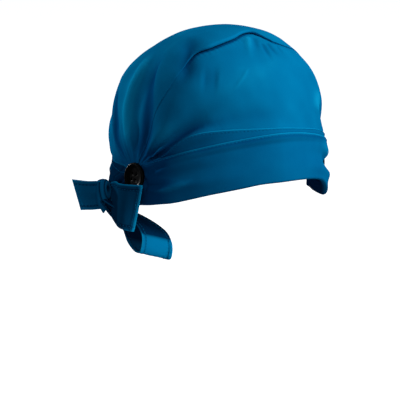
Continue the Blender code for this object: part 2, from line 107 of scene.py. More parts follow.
HOOPS = {
    "angle": (FIRST_HOOP, 45.0, 60.0, 75.0, TOP_HOOP, 115.0, 140.0, 165.0, LAST_HOOP),
    "reach": (1.0, 1.065, 1.075, 1.02, 0.97, 0.995, 1.10, 1.12, 1.0),
    "square": (1.7, 2.0, 2.5, 2.6, 2.4, 2.3, 2.2, 2.1, 2.0),
    "square_left": (1.65, 1.9, 2.2, 2.05, 1.8, 1.8, 2.0, 2.1, 2.0),
    "puff": (0.0, 0.0, 0.0, 0.3, 0.6, 1.0, 1.0, 0.8, 0.0),
}
FOLDS = (
    {"low": 34.0, "high": 34.0, "width": 7.0, "depth": 0.8, "start": -86.0, "end": -15.0},
    {"low": 44.0, "high": 43.0, "width": 4.0, "depth": -0.9, "start": -88.0, "end": -25.0},
    {"low": 80.0, "high": 99.0, "width": 8.0, "depth": -1.0, "start": -88.0, "end": -20.0},
    {"low": 140.0, "high": 112.0, "width": 9.0, "depth": 0.9, "start": -88.0, "end": -25.0},
    {"low": 160.0, "high": 138.0, "width": 7.0, "depth": -0.7, "start": -86.0, "end": -15.0},
    {"low": 46.0, "high": 44.0, "width": 5.0, "depth": -0.6, "start": 88.0, "end": 30.0},
    {"low": 82.0, "high": 96.0, "width": 8.0, "depth": -0.8, "start": 88.0, "end": 20.0},
    {"low": 120.0, "high": 118.0, "width": 8.0, "depth": 0.6, "start": 86.0, "end": 25.0},
    {"low": 158.0, "high": 140.0, "width": 7.0, "depth": -0.7, "start": 86.0, "end": 15.0},
)
BAND_EDGE = {
    "station": (-90.0, -75.0, -60.0, -30.0, 0.0, 30.0, 50.0, 65.0, 90.0),
    "rise": (0.00, 0.18, 0.42, 0.84, 1.00, 0.74, 0.24, -0.10, -0.18),
    "lean": (0.0, 0.2, 0.5, 0.9, 1.0, 0.8, 0.4, 0.2, 0.0),
    "flare": (0.0, 0.0, 0.0, 0.0, 0.0, 0.2, 0.6, 0.6, 0.0),
    "pleat": (0.0, 0.7, 0.6, 0.2, 0.0, 0.4, 1.0, 1.0, 0.0),
}
BAND_GATHERS = (
    {"low": 0.50, "high": 0.22, "width": 0.13, "depth": 1.0},
    {"low": 0.58, "high": 0.52, "width": 0.12, "depth": -0.8},
    {"low": 0.68, "high": 0.80, "width": 0.12, "depth": 0.7},
)
FRONT_TAIL = {
    "share": (0.0, 0.25, 0.5, 0.75, 1.0),
    "ahead_top": (0.0, 0.28, 0.55, 0.80, 1.0),
    "ahead_low": (0.0, 0.20, 0.38, 0.54, 0.68),
    "top": (0.40, 0.59, 0.70, 0.77, 0.82),
    "bottom": (-0.44, -0.58, -0.66, -0.68, -0.71),
    "out": (-0.36, -0.08, 0.10, -0.05, -0.50),
}
BACK_TAIL = {
    "share": (0.0, 0.33, 0.67, 1.0),
    "length_low": (0.0, 0.22, 0.45, 0.68),
    "length_top": (0.0, 0.33, 0.67, 1.0),
    "bottom": (-0.42, -0.435, -0.44, -0.44),
    "top": (0.42, 0.445, 0.48, 0.52),
    "wave": (0.0, 0.016, -0.008, -0.012),
}
BOW_LOOP = {
    "share": (0.0, 0.12, 0.28, 0.42, 0.52, 0.62, 0.76, 0.89, 1.0),
    "ahead": (0.0, 0.10, 0.20, 0.36, 0.66, 0.91, 1.00, 0.72, 0.0),
    "down": (0.14, 0.42, 0.68, 0.94, 1.02, 0.95, 0.58, 0.34, 0.08),
    "inboard": (0.00, 0.35, 0.78, 0.86, 0.88, 0.90, 0.86, 0.66, 0.00),
    "wide": (0.45, 0.74, 0.98, 1.00, 1.04, 1.06, 1.00, 0.90, 0.30),
}

# Shape of the CAD knot and the place of the buttons
CAD_KNOT_WIDTH = 0.0135
KNOT_LENGTH = 0.015
KNOT_HEIGHT = 0.026
KNOT_DROP = 0.0112
KNOT_SQUARE = 3.0
SEAT_GAP = 0.0003
BACK_TAIL_LENGTH = 0.0195
BACK_TAIL_SWING = 0.30
FRONT_TAIL_LENGTH = 0.058
LOOP_DROP = 0.044
LOOP_REACH = 0.045
LOOP_SLANT = 21.0
BUTTON_DIAMETER = 0.0225
BUTTON_SHARE = 0.72


# Walls of the cloth as it is seen, and the border that is rounded on each
CLOTH = 0.0011
BAND_CLOTH = 0.0009
RIBBON_CLOTH = 0.0009
CASING_CLOTH = 0.0010
BAND_BORDER = 0.0005
RIBBON_BORDER = 0.0006
BORDER_THINNEST = 0.12

# Soft waves of each cloth
CROWN_SLACK = (
    {"height": 0.0005, "length": 0.055, "seed": 3},
    {"height": 0.00022, "length": 0.021, "seed": 5},
)
BAND_SLACK = (
    {"height": 0.0003, "length": 0.04, "seed": 8},
    {"height": 0.00012, "length": 0.016, "seed": 9},
)
RIBBON_SLACK = (
    {"height": 0.00035, "length": 0.03, "seed": 21},
    {"height": 0.0002, "length": 0.012, "seed": 22},
)
LOOP_SLACK = ({"height": 0.0003, "length": 0.02, "seed": 31},)

# Reach of a crease in half widths, and the usual share of its run in which each end dies away
CREASE_REACH = 3.2
CREASE_EASE = (0.3, 0.3)

# Fine pleats over the ears: heights on the right and the left, where they are shifted. Below it
# the cloth that is turned in along the crown's edges
EAR_PLEATS = {"seed": 11, "layers": 7, "pitch": (9.0, 26.0), "drift": 0.10, "pivot": 60.0,
              "shift": 7.0, "right": 0.00006, "left": 0.00030}
ALLOWANCE = {"steps": (0.2, 0.5, 1.0), "gap": 0.0004, "slant": 0.0012, "depth": 0.007}

# Panel seam: how far the panel runs on under the bag (degrees), how deep the bag's edge presses
# into it, and the pucker and painted shadow beside it. The bag's edge follows angles about its
# roll, and then runs on as a flap, in radii of the roll
PANEL_TUCK = 3.5
SEAM_PRESS = 0.40
SEAM_PRESS_FREE = 0.0006
PANEL_SINK = 0.0012
PUCKER = 0.00016
SEAM_SHADE = 0.0042
BAG_ROLL_SWINGS = (-90.0, -60.0, -30.0, 0.0, 30.0, 60.0, 90.0)
BAG_FLAP = (2.6, 1.2)
BAG_ROW_EASE = 1.15
BAG_PLEAT = 0.0005
THIN_SHARE = 0.7

# Casing strip and band: where the strip ends (turn), how proud they stand, the rows at their
# upper edges in metres or as shares of the height, and the band's soft roll at its lower edge
CASING_END = 75.0
CASING_PROUD = 0.0004
CASING_SINK = 0.0016
CASING_RADIUS = 0.075
CASING_BASE = 0.0008
CASING_ROWS = (0.0, 0.00006, 0.00018, 0.00036, 0.0006, 0.0009, 0.0013, 0.0018, 0.0024)
BAND_PROUD = 0.0019
BAND_SPAN = 0.03
BAND_TOP_STEPS = (0.0, 0.004, 0.012, 0.025, 0.045, 0.07)
BAND_TOP_DROP = 0.05
RIM_RADIUS = 0.0021
RIM_FLAP = (0.001, 0.011)

# Hems of the ribbon, and the places across it where its grid is fine
HEM_WIDTH = 0.0045
HEM_GROOVE = 0.78 * HEM_WIDTH
HEM_GROOVE_DEPTH = 0.00035
HEM_GROOVE_WIDTH = 0.00045
HEM_THICKNESS = 0.00045
HEM_STEP = 0.0008
HEM_ROWS = (0.0, 0.0001, 0.0003, 0.0006, 0.0012, 0.0020, 0.0028, 0.0032, 0.0036, 0.0041,
            0.0046, 0.0053)
# Width of the painted highlight along a hem's edge and a tail's end
EDGE_HIGHLIGHT_WIDTH = 0.0009

# Ribbon round the back: its ends (stations), and how it is tucked under the band
RIBBON_ENDS = (85.0, 275.0)
RIBBON_PROUD = 0.0009
RIBBON_TUCK = 0.0021
RIBBON_TOP_PROUD = 0.0004
RIBBON_TOP_OVER = 0.0012
RIBBON_PLEAT = 0.0007

# Tails and loop of the bow: their widths and how they are gathered into the knot
BACK_TAIL_WIDTH = 0.9 * RIBBON_WIDTH
FRONT_TAIL_WIDTH = 1.2 * RIBBON_WIDTH
TAIL_BURIED = 0.0045
ROOT_OVERLAP = 0.0010
BACK_TAIL_FOLD = 0.0009
FRONT_TAIL_FOLD = 0.0010
TAIL_GATHER = 0.0005
LOOP_FOLD = 0.0008

# Painted light in the cloth's colour: below 0 painted shade, deeper than usual, and above 0
# a painted highlight, lighter than usual
EAR_SHADE = -0.0026
EAR_SHADE_FADE = 26.0
# BAND_SHADE deepens the band and the casing evenly: partly their own deeper colour, partly painted
# shade
BAND_SHADE = -0.0010
# Painted highlights along the edges of the casing, band, hems and tails' ends, and painted shade in the
# band's and the hems' stitched grooves
CASING_EDGE_HIGHLIGHT = 0.0030
BAND_EDGE_HIGHLIGHT = 0.0024
BAND_GROOVE_SHADE = -0.0012
HEM_EDGE_HIGHLIGHT = 0.0026
HEM_GROOVE_SHADE = -0.0022
# Painted shade on the ribbon beside the knot, on the tails, on the loop's back and inside, and in the
# knot
RIBBON_SHADE = -0.0036
BACK_TAIL_SHADE = -0.0011
BACK_TAIL_END_HIGHLIGHT = 0.0025
FRONT_TAIL_SHADE = -0.0020
FRONT_TAIL_END_HIGHLIGHT = 0.0042
LOOP_BACK_SHADE = -0.0040
LOOP_INSIDE_SHADE = -0.003
KNOT_SHADE = -0.003

# Knot: how many turns show, where its hollow lies (outward, forward, up), and its pulled tip
KNOT_TURNS = 5.2
KNOT_EYE = (-0.35, 0.80, 0.42)
KNOT_EYE_WIDTH = 0.24
KNOT_ROUND = 2.6
KNOT_GROOVE = 0.13
KNOT_HOLLOW = 0.45
KNOT_TIP = 0.0036

# Running stitches: the thread, and the rows or columns of a grid that they follow
THREAD_RADIUS = 0.00017
STITCH_PITCH = 0.0028
STITCH_LENGTH = 0.0021
STITCH_LIFT = 0.00005
STITCH_ARCH = 0.00012
HEM_STITCH = 8
CASING_STITCHES = (("column", -8, 1),)
BAND_STITCHES = (("column", -5, 1),)
OUTER_HEM_STITCHES = (("column", HEM_STITCH, 1), ("column", -1 - HEM_STITCH, 1))
BACK_TAIL_ROW = -12
FRONT_TAIL_ROW = -5
HEM_STITCHES = OUTER_HEM_STITCHES + tuple((kind, row, -1) for kind, row, _ in OUTER_HEM_STITCHES)

# Outline of half a button: across is a share of its radius, height of its thickness
BUTTON_OUTLINE = {
    "across": (0.0, 0.60, 0.70, 0.76, 0.80, 0.85, 0.91, 0.96, 0.99, 1.0, 0.985, 0.94, 0.85, 0.0),
    "height": (0.66, 0.66, 0.70, 0.80, 0.92, 0.99, 1.0, 0.95, 0.82, 0.55, 0.28, 0.10, 0.02, 0.0),
}
BUTTON_HOLE = 0.0021
BUTTON_HOLE_PITCH = 0.0044
BUTTON_EDGE = 0.00018
BUTTON_THREAD_RADIUS = 0.00020
BUTTON_STRAND_SHIFT = 0.00022
BUTTON_STRAND_TOP = 0.70 * BUTTON_THICKNESS
BUTTON_STRAND_DROP = 0.0016


# Seam between the front panel and the bag: where it runs, and how high the bag's edge rolls
# over the panel
SEAM_LINE = {
    "turn": (-90.0, -60.0, -43.0, -33.0, -24.0, -12.0, 0.0, 4.0, 8.0, 12.0, 22.0, 32.0, 45.0,
             60.0, 90.0),
    "angle": (76.0, 76.8, 76.8, 77.2, 73.0, 71.4, 74.4, 74.6, 70.8, 68.4, 69.9, 76.0, 80.0,
              79.0, 76.0),
    "roll": (0.0003, 0.0003, 0.0004, 0.0018, 0.0034, 0.0032, 0.0026, 0.0021, 0.0015, 0.0012,
             0.0009, 0.0007, 0.0007, 0.0006, 0.0003),
}
# Upper edge of the casing strip above the band, on the front panel
CASING_LINE = {
    "turn": (-75.0, -70.0, -63.0, -56.0, -50.0, -43.0, -35.0, -21.0, -8.0, 4.0, 16.0, 36.0, 60.0,
             75.0),
    "angle": (24.3, 26.8, 30.5, 33.8, 35.4, 34.6, 32.6, 29.6, 27.4, 26.4, 26.0, 26.4, 26.4, 24.3),
}

# Folds, creases and dimples of the crown: places along each are (angle, turn)
CROWN_CREASES = (
    {"path": ((90.0, -27.0), (81.8, -32.0), (78.8, -35.5), (75.0, -40.5), (70.0, -46.0)),
     "width": 0.0062, "depth": -0.0015, "lean": -0.3},
    {"path": ((94.5, -36.0), (94.8, -50.0), (86.0, -63.0), (74.0, -79.0), (68.0, -87.0)),
     "width": 0.0080, "depth": -0.0040, "lean": 0.2, "ease": (0.35, 0.35)},
    {"path": ((109.0, -34.0), (109.0, -46.0), (111.0, -60.0), (110.0, -74.0), (104.0, -84.0)),
     "width": 0.0065, "depth": 0.0028, "ease": (0.35, 0.4)},
    {"path": ((131.0, -44.0), (132.0, -56.0), (133.0, -68.0), (139.0, -79.0), (139.0, -86.0)),
     "width": 0.0055, "depth": -0.0034, "ease": (0.35, 0.45)},
    {"path": ((26.5, -84.0), (27.5, -78.0), (31.5, -68.5), (38.5, -59.0), (40.5, -50.0),
              (38.5, -41.5), (36.0, -34.5), (33.6, -26.0), (32.0, -14.0)),
     "width": 0.0046, "depth": -0.0051, "lean": -0.5, "ease": (0.16, 0.90)},
    {"path": ((60.0, -84.0), (56.0, -70.0), (54.0, -58.0), (52.0, -45.0)),
     "width": 0.0075, "depth": 0.0012, "ease": (0.2, 0.5)},
    {"path": ((56.0, -10.0), (53.4, -13.5), (51.4, -17.0), (48.9, -22.5)),
     "width": 0.0012, "depth": 0.00035, "lean": 0.8},
    {"path": ((65.0, -36.0), (61.0, -31.5), (57.5, -27.0)),
     "width": 0.0075, "depth": -0.0009},
    {"path": ((66.5, 4.5), (61.0, 4.0), (56.0, 4.8)),
     "width": 0.0018, "depth": -0.0008, "lean": 0.6, "ease": (0.05, 0.6)},
    {"path": ((67.0, 7.5), (63.0, 8.5), (58.5, 10.5)),
     "width": 0.0017, "depth": -0.0008, "lean": 0.6, "ease": (0.05, 0.6)},
    {"path": ((66.5, 13.0), (64.0, 13.5), (61.0, 15.0)),
     "width": 0.0015, "depth": -0.0006, "lean": 0.5, "ease": (0.05, 0.6)},
    {"path": ((71.0, -1.5), (65.0, -5.0), (58.0, -8.5)),
     "width": 0.0028, "depth": 0.0010, "ease": (0.05, 0.6)},
    {"path": ((70.5, 2.0), (66.0, 0.0), (61.0, -2.0)),
     "width": 0.0022, "depth": -0.0008, "ease": (0.05, 0.6)},
    {"path": ((42.0, -38.0), (36.5, -24.0), (34.0, -8.0), (32.0, 12.0)),
     "width": 0.0060, "depth": -0.0007, "ease": (0.3, 0.4)},
    {"path": ((62.0, 48.0), (50.0, 42.0), (38.0, 40.0)),
     "width": 0.0100, "depth": 0.0016, "ease": (0.4, 0.4)},
    {"path": ((40.0, 76.0), (46.0, 60.0), (52.0, 44.0)),
     "width": 0.0060, "depth": -0.0018, "ease": (0.1, 0.5)},
    {"path": ((92.0, 84.0), (100.0, 66.0), (103.0, 48.0)),
     "width": 0.0070, "depth": 0.0018, "ease": (0.15, 0.5)},
    {"path": ((108.0, 84.0), (122.0, 68.0), (126.0, 50.0)),
     "width": 0.0060, "depth": -0.0016, "ease": (0.15, 0.5)},
)

# How far the band's lower edge hangs below its plain surface, as a share of its height
BAND_LOW = {
    "station": (-90.0, -75.0, -66.0, -54.0, -39.0, -20.0, -8.0, 90.0),
    "share": (0.0, -0.02, -0.05, -0.09, -0.09, -0.045, 0.0, 0.0),
}

# Folds of the band: places are (station, share of its height)
BAND_CREASES = (
    {"path": ((-74.0, 0.30), (-66.0, 0.24), (-56.0, 0.19), (-47.5, 0.24), (-41.0, 0.30)),
     "width": 0.0024, "depth": 0.0014, "lean": -0.8, "ease": (0.1, 0.5)},
    {"path": ((-75.0, 0.44), (-68.0, 0.40), (-60.0, 0.38), (-50.0, 0.40)),
     "width": 0.0045, "depth": -0.0026, "ease": (0.1, 0.6)},
    {"path": ((-74.0, 0.60), (-64.0, 0.52), (-52.0, 0.50)),
     "width": 0.0030, "depth": 0.0010, "ease": (0.1, 0.6)},
    {"path": ((-74.0, 0.70), (-65.0, 0.78), (-55.0, 0.86)),
     "width": 0.0022, "depth": -0.0012, "ease": (0.1, 0.5)},
    {"path": ((73.0, 0.34), (64.0, 0.22), (52.0, 0.20)),
     "width": 0.0026, "depth": 0.0012, "lean": 0.6, "ease": (0.1, 0.5)},
    {"path": ((74.0, 0.52), (60.0, 0.42), (46.0, 0.42), (34.0, 0.46)),
     "width": 0.0036, "depth": -0.0020, "ease": (0.1, 0.4)},
    {"path": ((74.0, 0.72), (58.0, 0.70), (44.0, 0.72), (32.0, 0.76)),
     "width": 0.0046, "depth": 0.0018, "ease": (0.1, 0.4)},
)


# Upright folds of the ribbon beside the knot: places are (station, share of its width)
RIBBON_CREASES = (
    {"path": ((268.0, 1.0), (266.0, 0.6), (261.0, 0.3)),
     "width": 0.0022, "depth": -0.0024, "lean": 0.4, "ease": (0.02, 0.4)},
    {"path": ((263.0, 1.0), (261.5, 0.7), (258.0, 0.4)),
     "width": 0.0020, "depth": 0.0010, "ease": (0.02, 0.4)},
    {"path": ((259.0, 0.98), (257.0, 0.7), (254.0, 0.4)),
     "width": 0.0016, "depth": -0.0013, "ease": (0.02, 0.4)},
    {"path": ((242.0, 0.5), (236.0, 0.42), (226.0, 0.40)),
     "width": 0.0022, "depth": -0.0012, "ease": (0.05, 0.7)},
    {"path": ((243.0, 0.7), (236.0, 0.74), (224.0, 0.78)),
     "width": 0.0022, "depth": 0.0009, "ease": (0.05, 0.7)},
)


# Camera at the photograph's angle, and what it looks at
CAMERA_AZIMUTH = -27.0
CAMERA_ELEVATION = 17.0
CAMERA_DISTANCE = 0.8
CAMERA_LENS = 85.68
AIM_RIGHT = -0.018487
AIM_UP = -0.009244

# Stage: floor and lights. Places are to the right of, above and in front of the cap as the camera
# sees it, in metres, and energies are in watts
FLOOR_DEPTH = 0.24
FLOOR_RADIUS = 9.0
FLOOR_THICKNESS = 0.01
FLOOR_GLOW = 0.75
FLOOR_WHITE = (0.9, 0.9, 0.9, 1.0)
BLACK = (0.0, 0.0, 0.0, 1.0)
WHITE = (1.0, 1.0, 1.0, 1.0)
WINDOW = (0.80, 0.34, 0.48)
ROOM_DIM = 0.075
ROOM_BRIGHT = 0.52
ROOM_SHADE = (0.45, 0.72, 1.0, 1.0)
CAP_MIDDLE = (0.0, 0.057, 0.018)
LOOP_MIDDLE = (-0.062, -0.040, 0.040)
BAG_SIDE = (-0.087, 0.086, -0.010)
LAMPS = (
    {"name": "key", "place": (1.20, 0.76, 0.86), "aim": CAP_MIDDLE, "size": 0.5, "energy": 18.4},
    {"name": "side", "place": (-1.25, 0.40, -0.70), "aim": BAG_SIDE, "size": 0.08,
     "energy": 0.053, "spread": 10.0},
    {"name": "bounce", "place": (0.02, -0.085, 0.10), "aim": LOOP_MIDDLE, "size": 0.04,
     "energy": 0.0065, "spread": 50.0},
)

# Colours of the cloth: deepened by painted shade, usual, and lightened by painted highlights,
# the ribbon's painted shade deeper still; of its thread; and of the buttons
CAP_BLUES = ((0.0001, 0.075, 0.225, 1.0), (0.0003, 0.185, 0.400, 1.0), (0.002, 0.270, 0.520, 1.0))
RIBBON_BLUES = ((0.0001, 0.027, 0.082, 1.0),) + CAP_BLUES[1:]
SHEEN_BLUE = (0.0, 0.5, 1.0, 1.0)
THREAD_BLUE = (0.002, 0.22, 0.48, 1.0)
THREAD_BLACK = (0.02, 0.018, 0.018, 1.0)
RESIN_BLACKS = ((0.0015, 0.0012, 0.0012, 1.0), (0.005, 0.004, 0.0035, 1.0))
WEAVE_PITCH = 0.0006
CAP_SHEEN = 0.06
RIBBON_SHEEN = 0.02

# Node of the part that each piece stands for
STANDS_FOR = {
    "front_panel": "crown_front",
    "bag": "crown_back",
    "band": "headband",
    "ribbon": "strap_back",
    "knot_wrap": "knot",
    "tail_back_cloth": "tail_back",
    "tail_front_cloth": "tail_front",
    "loop_cloth": "bow_loop",
    "resin_button_right": "button_right",
    "resin_button_left": "button_left",
}
UP = np.array((0.0, 0.0, 1.0))


def smooth_step(value):
    """Ease from 0 to 1."""
    value = np.clip(value, 0.0, 1.0)
    return value * value * (3.0 - 2.0 * value)


def fade_in(value, start, length):
    """0 up to start, and from there an ease to 1 over a length."""
    return smooth_step((value - start) / length)


def fade_out(value, end, length):
    """An ease from 1 to 0 over a length that closes at end."""
    return smooth_step((end - value) / length)


def near(distance, reach):
    """1 at no distance, and an ease to 0 within a reach."""
    return 1.0 - smooth_step(distance / reach)


def bell(value, width):
    """Rounded peak of height 1 about 0."""
    return np.exp(-(value / width) ** 2)


def read_table(table, key_column, column, key):
    """Smooth values of one column between the rows of a table."""
    keys = np.array(table[key_column])
    values = np.array(table[column])
    ahead = np.minimum(np.arange(len(keys)) + 1, len(keys) - 1)
    behind = np.maximum(np.arange(len(keys)) - 1, 0)
    slopes = (values[ahead] - values[behind]) / (keys[ahead] - keys[behind])
    key = np.clip(key, keys[0], keys[-1])
    row = np.clip(np.searchsorted(keys, key, side="left") - 1, 0, len(keys) - 2)
    span = keys[row + 1] - keys[row]
    share = (key - keys[row]) / span
    ease = smooth_step(share)
    lead = share * (1.0 - share) ** 2 * span * slopes[row]
    trail = share * share * (1.0 - share) * span * slopes[row + 1]
    return values[row] * (1.0 - ease) + values[row + 1] * ease + lead - trail


def fold_height(angle, turn):
    """How far the main folds lift or sink the crown."""
    height = 0.0
    for fold in FOLDS:
        share = (turn - fold["start"]) / (fold["end"] - fold["start"])
        middle = fold["low"] + (fold["high"] - fold["low"]) * share
        across = (angle - middle) / fold["width"]
        window = smooth_step(share / FOLD_START) * smooth_step((1.0 - share) / FOLD_FADE)
        height = height + fold["depth"] * window * np.exp(-across * across)
    edge = np.minimum(angle - FIRST_HOOP, LAST_HOOP - angle)
    return height * FOLD_DEPTH * smooth_step(edge / FOLD_MARGIN)


def ear_point(angle):
    """End of a hoop along the seam into which the crown is gathered over the ear."""
    y = EAR_SPREAD * ((angle - FIRST_HOOP) / (LAST_HOOP - FIRST_HOOP) - 0.5)
    climb = np.where(y < 0.0, FRONT_SEAM_RISE, BACK_SEAM_DROP)
    return y, EAR_SEAM_HEIGHT - y * np.tan(np.radians(climb))


def hoop_radius(angle):
    """Radius of the crown from the ear line."""
    front = FRONT_LENGTH / math.cos(math.radians(FRONT_SEAM_RISE))
    back = BACK_LENGTH / math.cos(math.radians(BACK_SEAM_DROP))
    seam = np.where(angle < TOP_HOOP, front, back)
    up = (angle - FIRST_HOOP) / (TOP_HOOP - FIRST_HOOP)
    down = (LAST_HOOP - angle) / (LAST_HOOP - TOP_HOOP)
    climb = np.where(angle < TOP_HOOP, up, down)
    radius = seam + (CROWN_RISE - seam) * smooth_step(climb)
    return radius * read_table(HOOPS, "angle", "reach", angle)


def dipped_angle(angle, turn):
    """Angle of a crown row, drawn forward towards the sides."""
    ahead = smooth_step((angle - FIRST_HOOP) / (PANEL_SEAM - FIRST_HOOP))
    behind = smooth_step((LAST_HOOP - angle) / (LAST_HOOP - PANEL_SEAM))
    pull = np.where(angle < PANEL_SEAM, ahead, behind)
    return angle - PANEL_DIP * pull * smooth_step(np.abs(turn) / DIP_TURN)


def bag_step(angle, turn):
    """Height by which the bag stands above the front panel behind its seam."""
    rise = np.cos(np.radians(turn))
    roll = smooth_step((angle - PANEL_SEAM) / BAG_ROLL)
    return BAG_STEP * roll * smooth_step(rise / BAG_ROLL_FADE)


def crown_point(angle, turn, stepped=True):
    """Outside of the crown. angle turns from the front seam over the top to the back seam."""
    angle, turn = np.broadcast_arrays(np.asarray(angle, float), np.asarray(turn, float))
    side = np.sin(np.radians(turn))
    rise = np.cos(np.radians(turn))
    step = bag_step(angle, turn) if stepped else 0.0
    angle = dipped_angle(angle, turn)
    right = read_table(HOOPS, "angle", "square", angle)
    left = read_table(HOOPS, "angle", "square_left", angle)
    square = np.where(turn < 0.0, right, left)
    puff = BAG_PUFF * read_table(HOOPS, "angle", "puff", angle)
    ear_y, ear_z = ear_point(angle)
    scale = (np.abs(side) ** square + np.abs(rise) ** square) ** (-1.0 / square)
    lift = fold_height(angle, turn) + step
    x = (0.5 * HEAD_WIDTH * scale + lift) * side + puff * np.sin(np.radians(2.0 * turn))
    out = (hoop_radius(angle) * scale + lift) * rise
    lean = np.radians(angle)
    return np.stack([x, ear_y - out * np.cos(lean), ear_z + out * np.sin(lean)], -1)


def seam_point(station):
    """Where the crown is sewn to the band and the ribbon."""
    station = (np.asarray(station, float) + 180.0) % 360.0 - 180.0
    side = np.where(station < 0.0, -1.0, 1.0)
    around = np.abs(station)
    front = around <= EAR_STATION
    back = around >= 180.0 - EAR_STATION
    share = (around - EAR_STATION) / (180.0 - 2.0 * EAR_STATION)
    angle = FIRST_HOOP + np.clip(share, 0.0, 1.0) * (LAST_HOOP - FIRST_HOOP)
    from_end = np.where(back, 180.0 - around, around)
    turn = np.where(front | back, side * 90.0 * from_end / EAR_STATION, side * 90.0)
    return crown_point(angle, turn)


def seam_outward(station):
    """Level direction away from the head at a station of the seam."""
    along = seam_point(station + 1.0) - seam_point(station - 1.0)
    out = np.stack([along[..., 1], -along[..., 0], np.zeros_like(along[..., 0])], -1)
    return out / np.linalg.norm(out, axis=-1, keepdims=True)


def bunch(station):
    """How far the gathered cloth stands out near an ear."""
    away = np.abs(np.abs(station) - BUNCH_STATION) / BUNCH_FADE
    return BUNCH * (1.0 - smooth_step(away))


def band_point(station, share):
    """Outside of the band, from its lower edge (share 0) to the seam (share 1)."""
    station, share = np.broadcast_arrays(np.asarray(station, float), np.asarray(share, float))
    seam = seam_point(station)
    rise = FRONT_EDGE_RISE * read_table(BAND_EDGE, "station", "rise", station)
    lean = BAND_LEAN * read_table(BAND_EDGE, "station", "lean", station)
    flare = BAND_FLARE * read_table(BAND_EDGE, "station", "flare", station)
    height = seam[..., 2] - SEAM_GAP - rise
    below = 1.0 - share
    gathered = (BUTTON_STATION - np.abs(station)) / (BUTTON_STATION - GATHER_END)
    fade = 1.0 - smooth_step(gathered)
    pleats = 0.0
    for gather in BAND_GATHERS:
        middle = gather["high"] + (gather["low"] - gather["high"]) * fade
        across = (share - middle) / gather["width"]
        pleats = pleats + gather["depth"] * np.exp(-across * across)
    pleats = pleats * GATHER_DEPTH * read_table(BAND_EDGE, "station", "pleat", station)
    pleats = pleats * smooth_step(below / PLEAT_EASE)
    swell = bunch(station) * smooth_step(below / BUNCH_EASE)
    out = lean * np.sin(0.5 * math.pi * below) + flare * below * below + pleats + swell
    point = seam + seam_outward(station) * out[..., None]
    point[..., 2] = rise + height * share
    return point


def knot_pull(station):
    """How far the tied knot pulls the ribbon out."""
    return RIBBON_PULL * near(np.abs(station - KNOT_STATION), PULL_FADE)


def ribbon_point(station, share):
    """Outside of the ribbon round the back, from its lower edge to its upper edge."""
    station, share = np.broadcast_arrays(np.asarray(station, float), np.asarray(share, float))
    seam = seam_point(station)
    below = 1.0 - share
    swell = bunch(np.minimum(station, 360.0 - station)) * smooth_step(below / BUNCH_EASE)
    point = seam + seam_outward(station) * (knot_pull(station) + swell)[..., None]
    point[..., 2] = seam[..., 2] - SEAM_GAP - RIBBON_WIDTH * below
    return point


def unit(vectors):
    """Vectors of length one."""
    return vectors / np.maximum(np.linalg.norm(vectors, axis=-1, keepdims=True), 1e-12)


def grid_normals(points):
    """Outward normals of a grid of points whose rows run along and columns up or back."""
    along = np.gradient(points, axis=0)
    across = np.gradient(points, axis=1)
    return unit(np.cross(along, across))


def smooth_path(points, count=80):
    """Even samples of a smooth curve through a few points."""
    points = np.asarray(points, float)
    if len(points) == 2:
        share = np.linspace(0.0, 1.0, count)[:, None]
        return points[0] * (1.0 - share) + points[1] * share
    ghost = np.vstack([2.0 * points[0] - points[1], points, 2.0 * points[-1] - points[-2]])
    place = np.linspace(0.0, len(points) - 1 - 1e-9, count)
    row = place.astype(int)
    t = (place - row)[:, None]
    a, b, c, d = (ghost[row + shift] for shift in range(4))
    return 0.5 * (
        2.0 * b + (c - a) * t + (2.0 * a - 5.0 * b + 4.0 * c - d) * t * t
        + (3.0 * (b - c) + d - a) * t * t * t
    )


def relief(points, normals, surface, creases):
    """Height of a list of folds over a grid of points.

    Each crease follows a few places on the surface. width is its half width in metres and depth
    its height (minus is a valley). lean lifts the cloth on one side of it, and ease is the share
    of its run in which each end dies away.
    """
    flat = points.reshape(-1, 3)
    height = np.zeros(len(flat))
    for crease in creases:
        path = surface(*smooth_path(crease["path"]).T)
        width = crease["width"]
        reach = CREASE_REACH * width
        inside = (flat > path.min(axis=0) - reach) & (flat < path.max(axis=0) + reach)
        close = np.flatnonzero(inside.all(axis=1))
        if not len(close):
            continue
        away = flat[close, None, :] - path[None, :, :]
        gap = np.linalg.norm(away, axis=2)
        step = gap.argmin(axis=1)
        row = np.arange(len(close))
        share = step / (len(path) - 1.0)
        start, end = crease.get("ease", CREASE_EASE)
        window = smooth_step(share / start) * smooth_step((1.0 - share) / end)
        tangent = unit(np.gradient(path, axis=0))[step]
        across = np.cross(tangent, normals.reshape(-1, 3)[close])
        side = (away[row, step] * across).sum(axis=1) / width
        shape = bell(gap[row, step], width) * (1.0 + crease.get("lean", 0.0) * side)
        height[close] += crease["depth"] * window * shape
    return height.reshape(points.shape[:2])


def ripple(points, scale, seed, layers=4):
    """Soft random height, the same on every run, made of a few crossing waves."""
    random = np.random.default_rng(seed)
    height = np.zeros(points.shape[:2])
    for _ in range(layers):
        direction = unit(random.normal(size=3))
        phase = random.uniform(0.0, 2.0 * math.pi)
        length = scale * random.uniform(0.7, 1.4)
        wave = (points @ direction) * 2.0 * math.pi / length + phase
        height += np.sin(wave + 0.8 * np.sin(0.6 * wave[::-1] + phase))
    return height / layers


def uneven_waves(turns, rate, sway, slow):
    """Waves along a seam, their spacing drifting."""
    return np.sin(turns * rate + sway * np.sin(turns * slow))


def slack(points, waves):
    """Height of the soft waves of a cloth."""
    return sum(wave["height"] * ripple(points, wave["length"], wave["seed"]) for wave in waves)


def on_rows(values, rows):
    """The same run of values on each row."""
    return np.tile(values, (len(rows), 1))


def link_object(name, mesh, material):
    """Show a mesh as a piece of the cap with its finish."""
    thing = bpy.data.objects.new(name, mesh)
    bpy.context.scene.collection.objects.link(thing)
    mesh.materials.append(material)
    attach(thing, "root")
    return thing


def grid_quads(number):
    """Quads between the rows and columns of a grid of point numbers."""
    corners = (number[:-1, :-1], number[1:, :-1], number[1:, 1:], number[:-1, 1:])
    return np.stack(corners, -1).reshape(-1, 4)


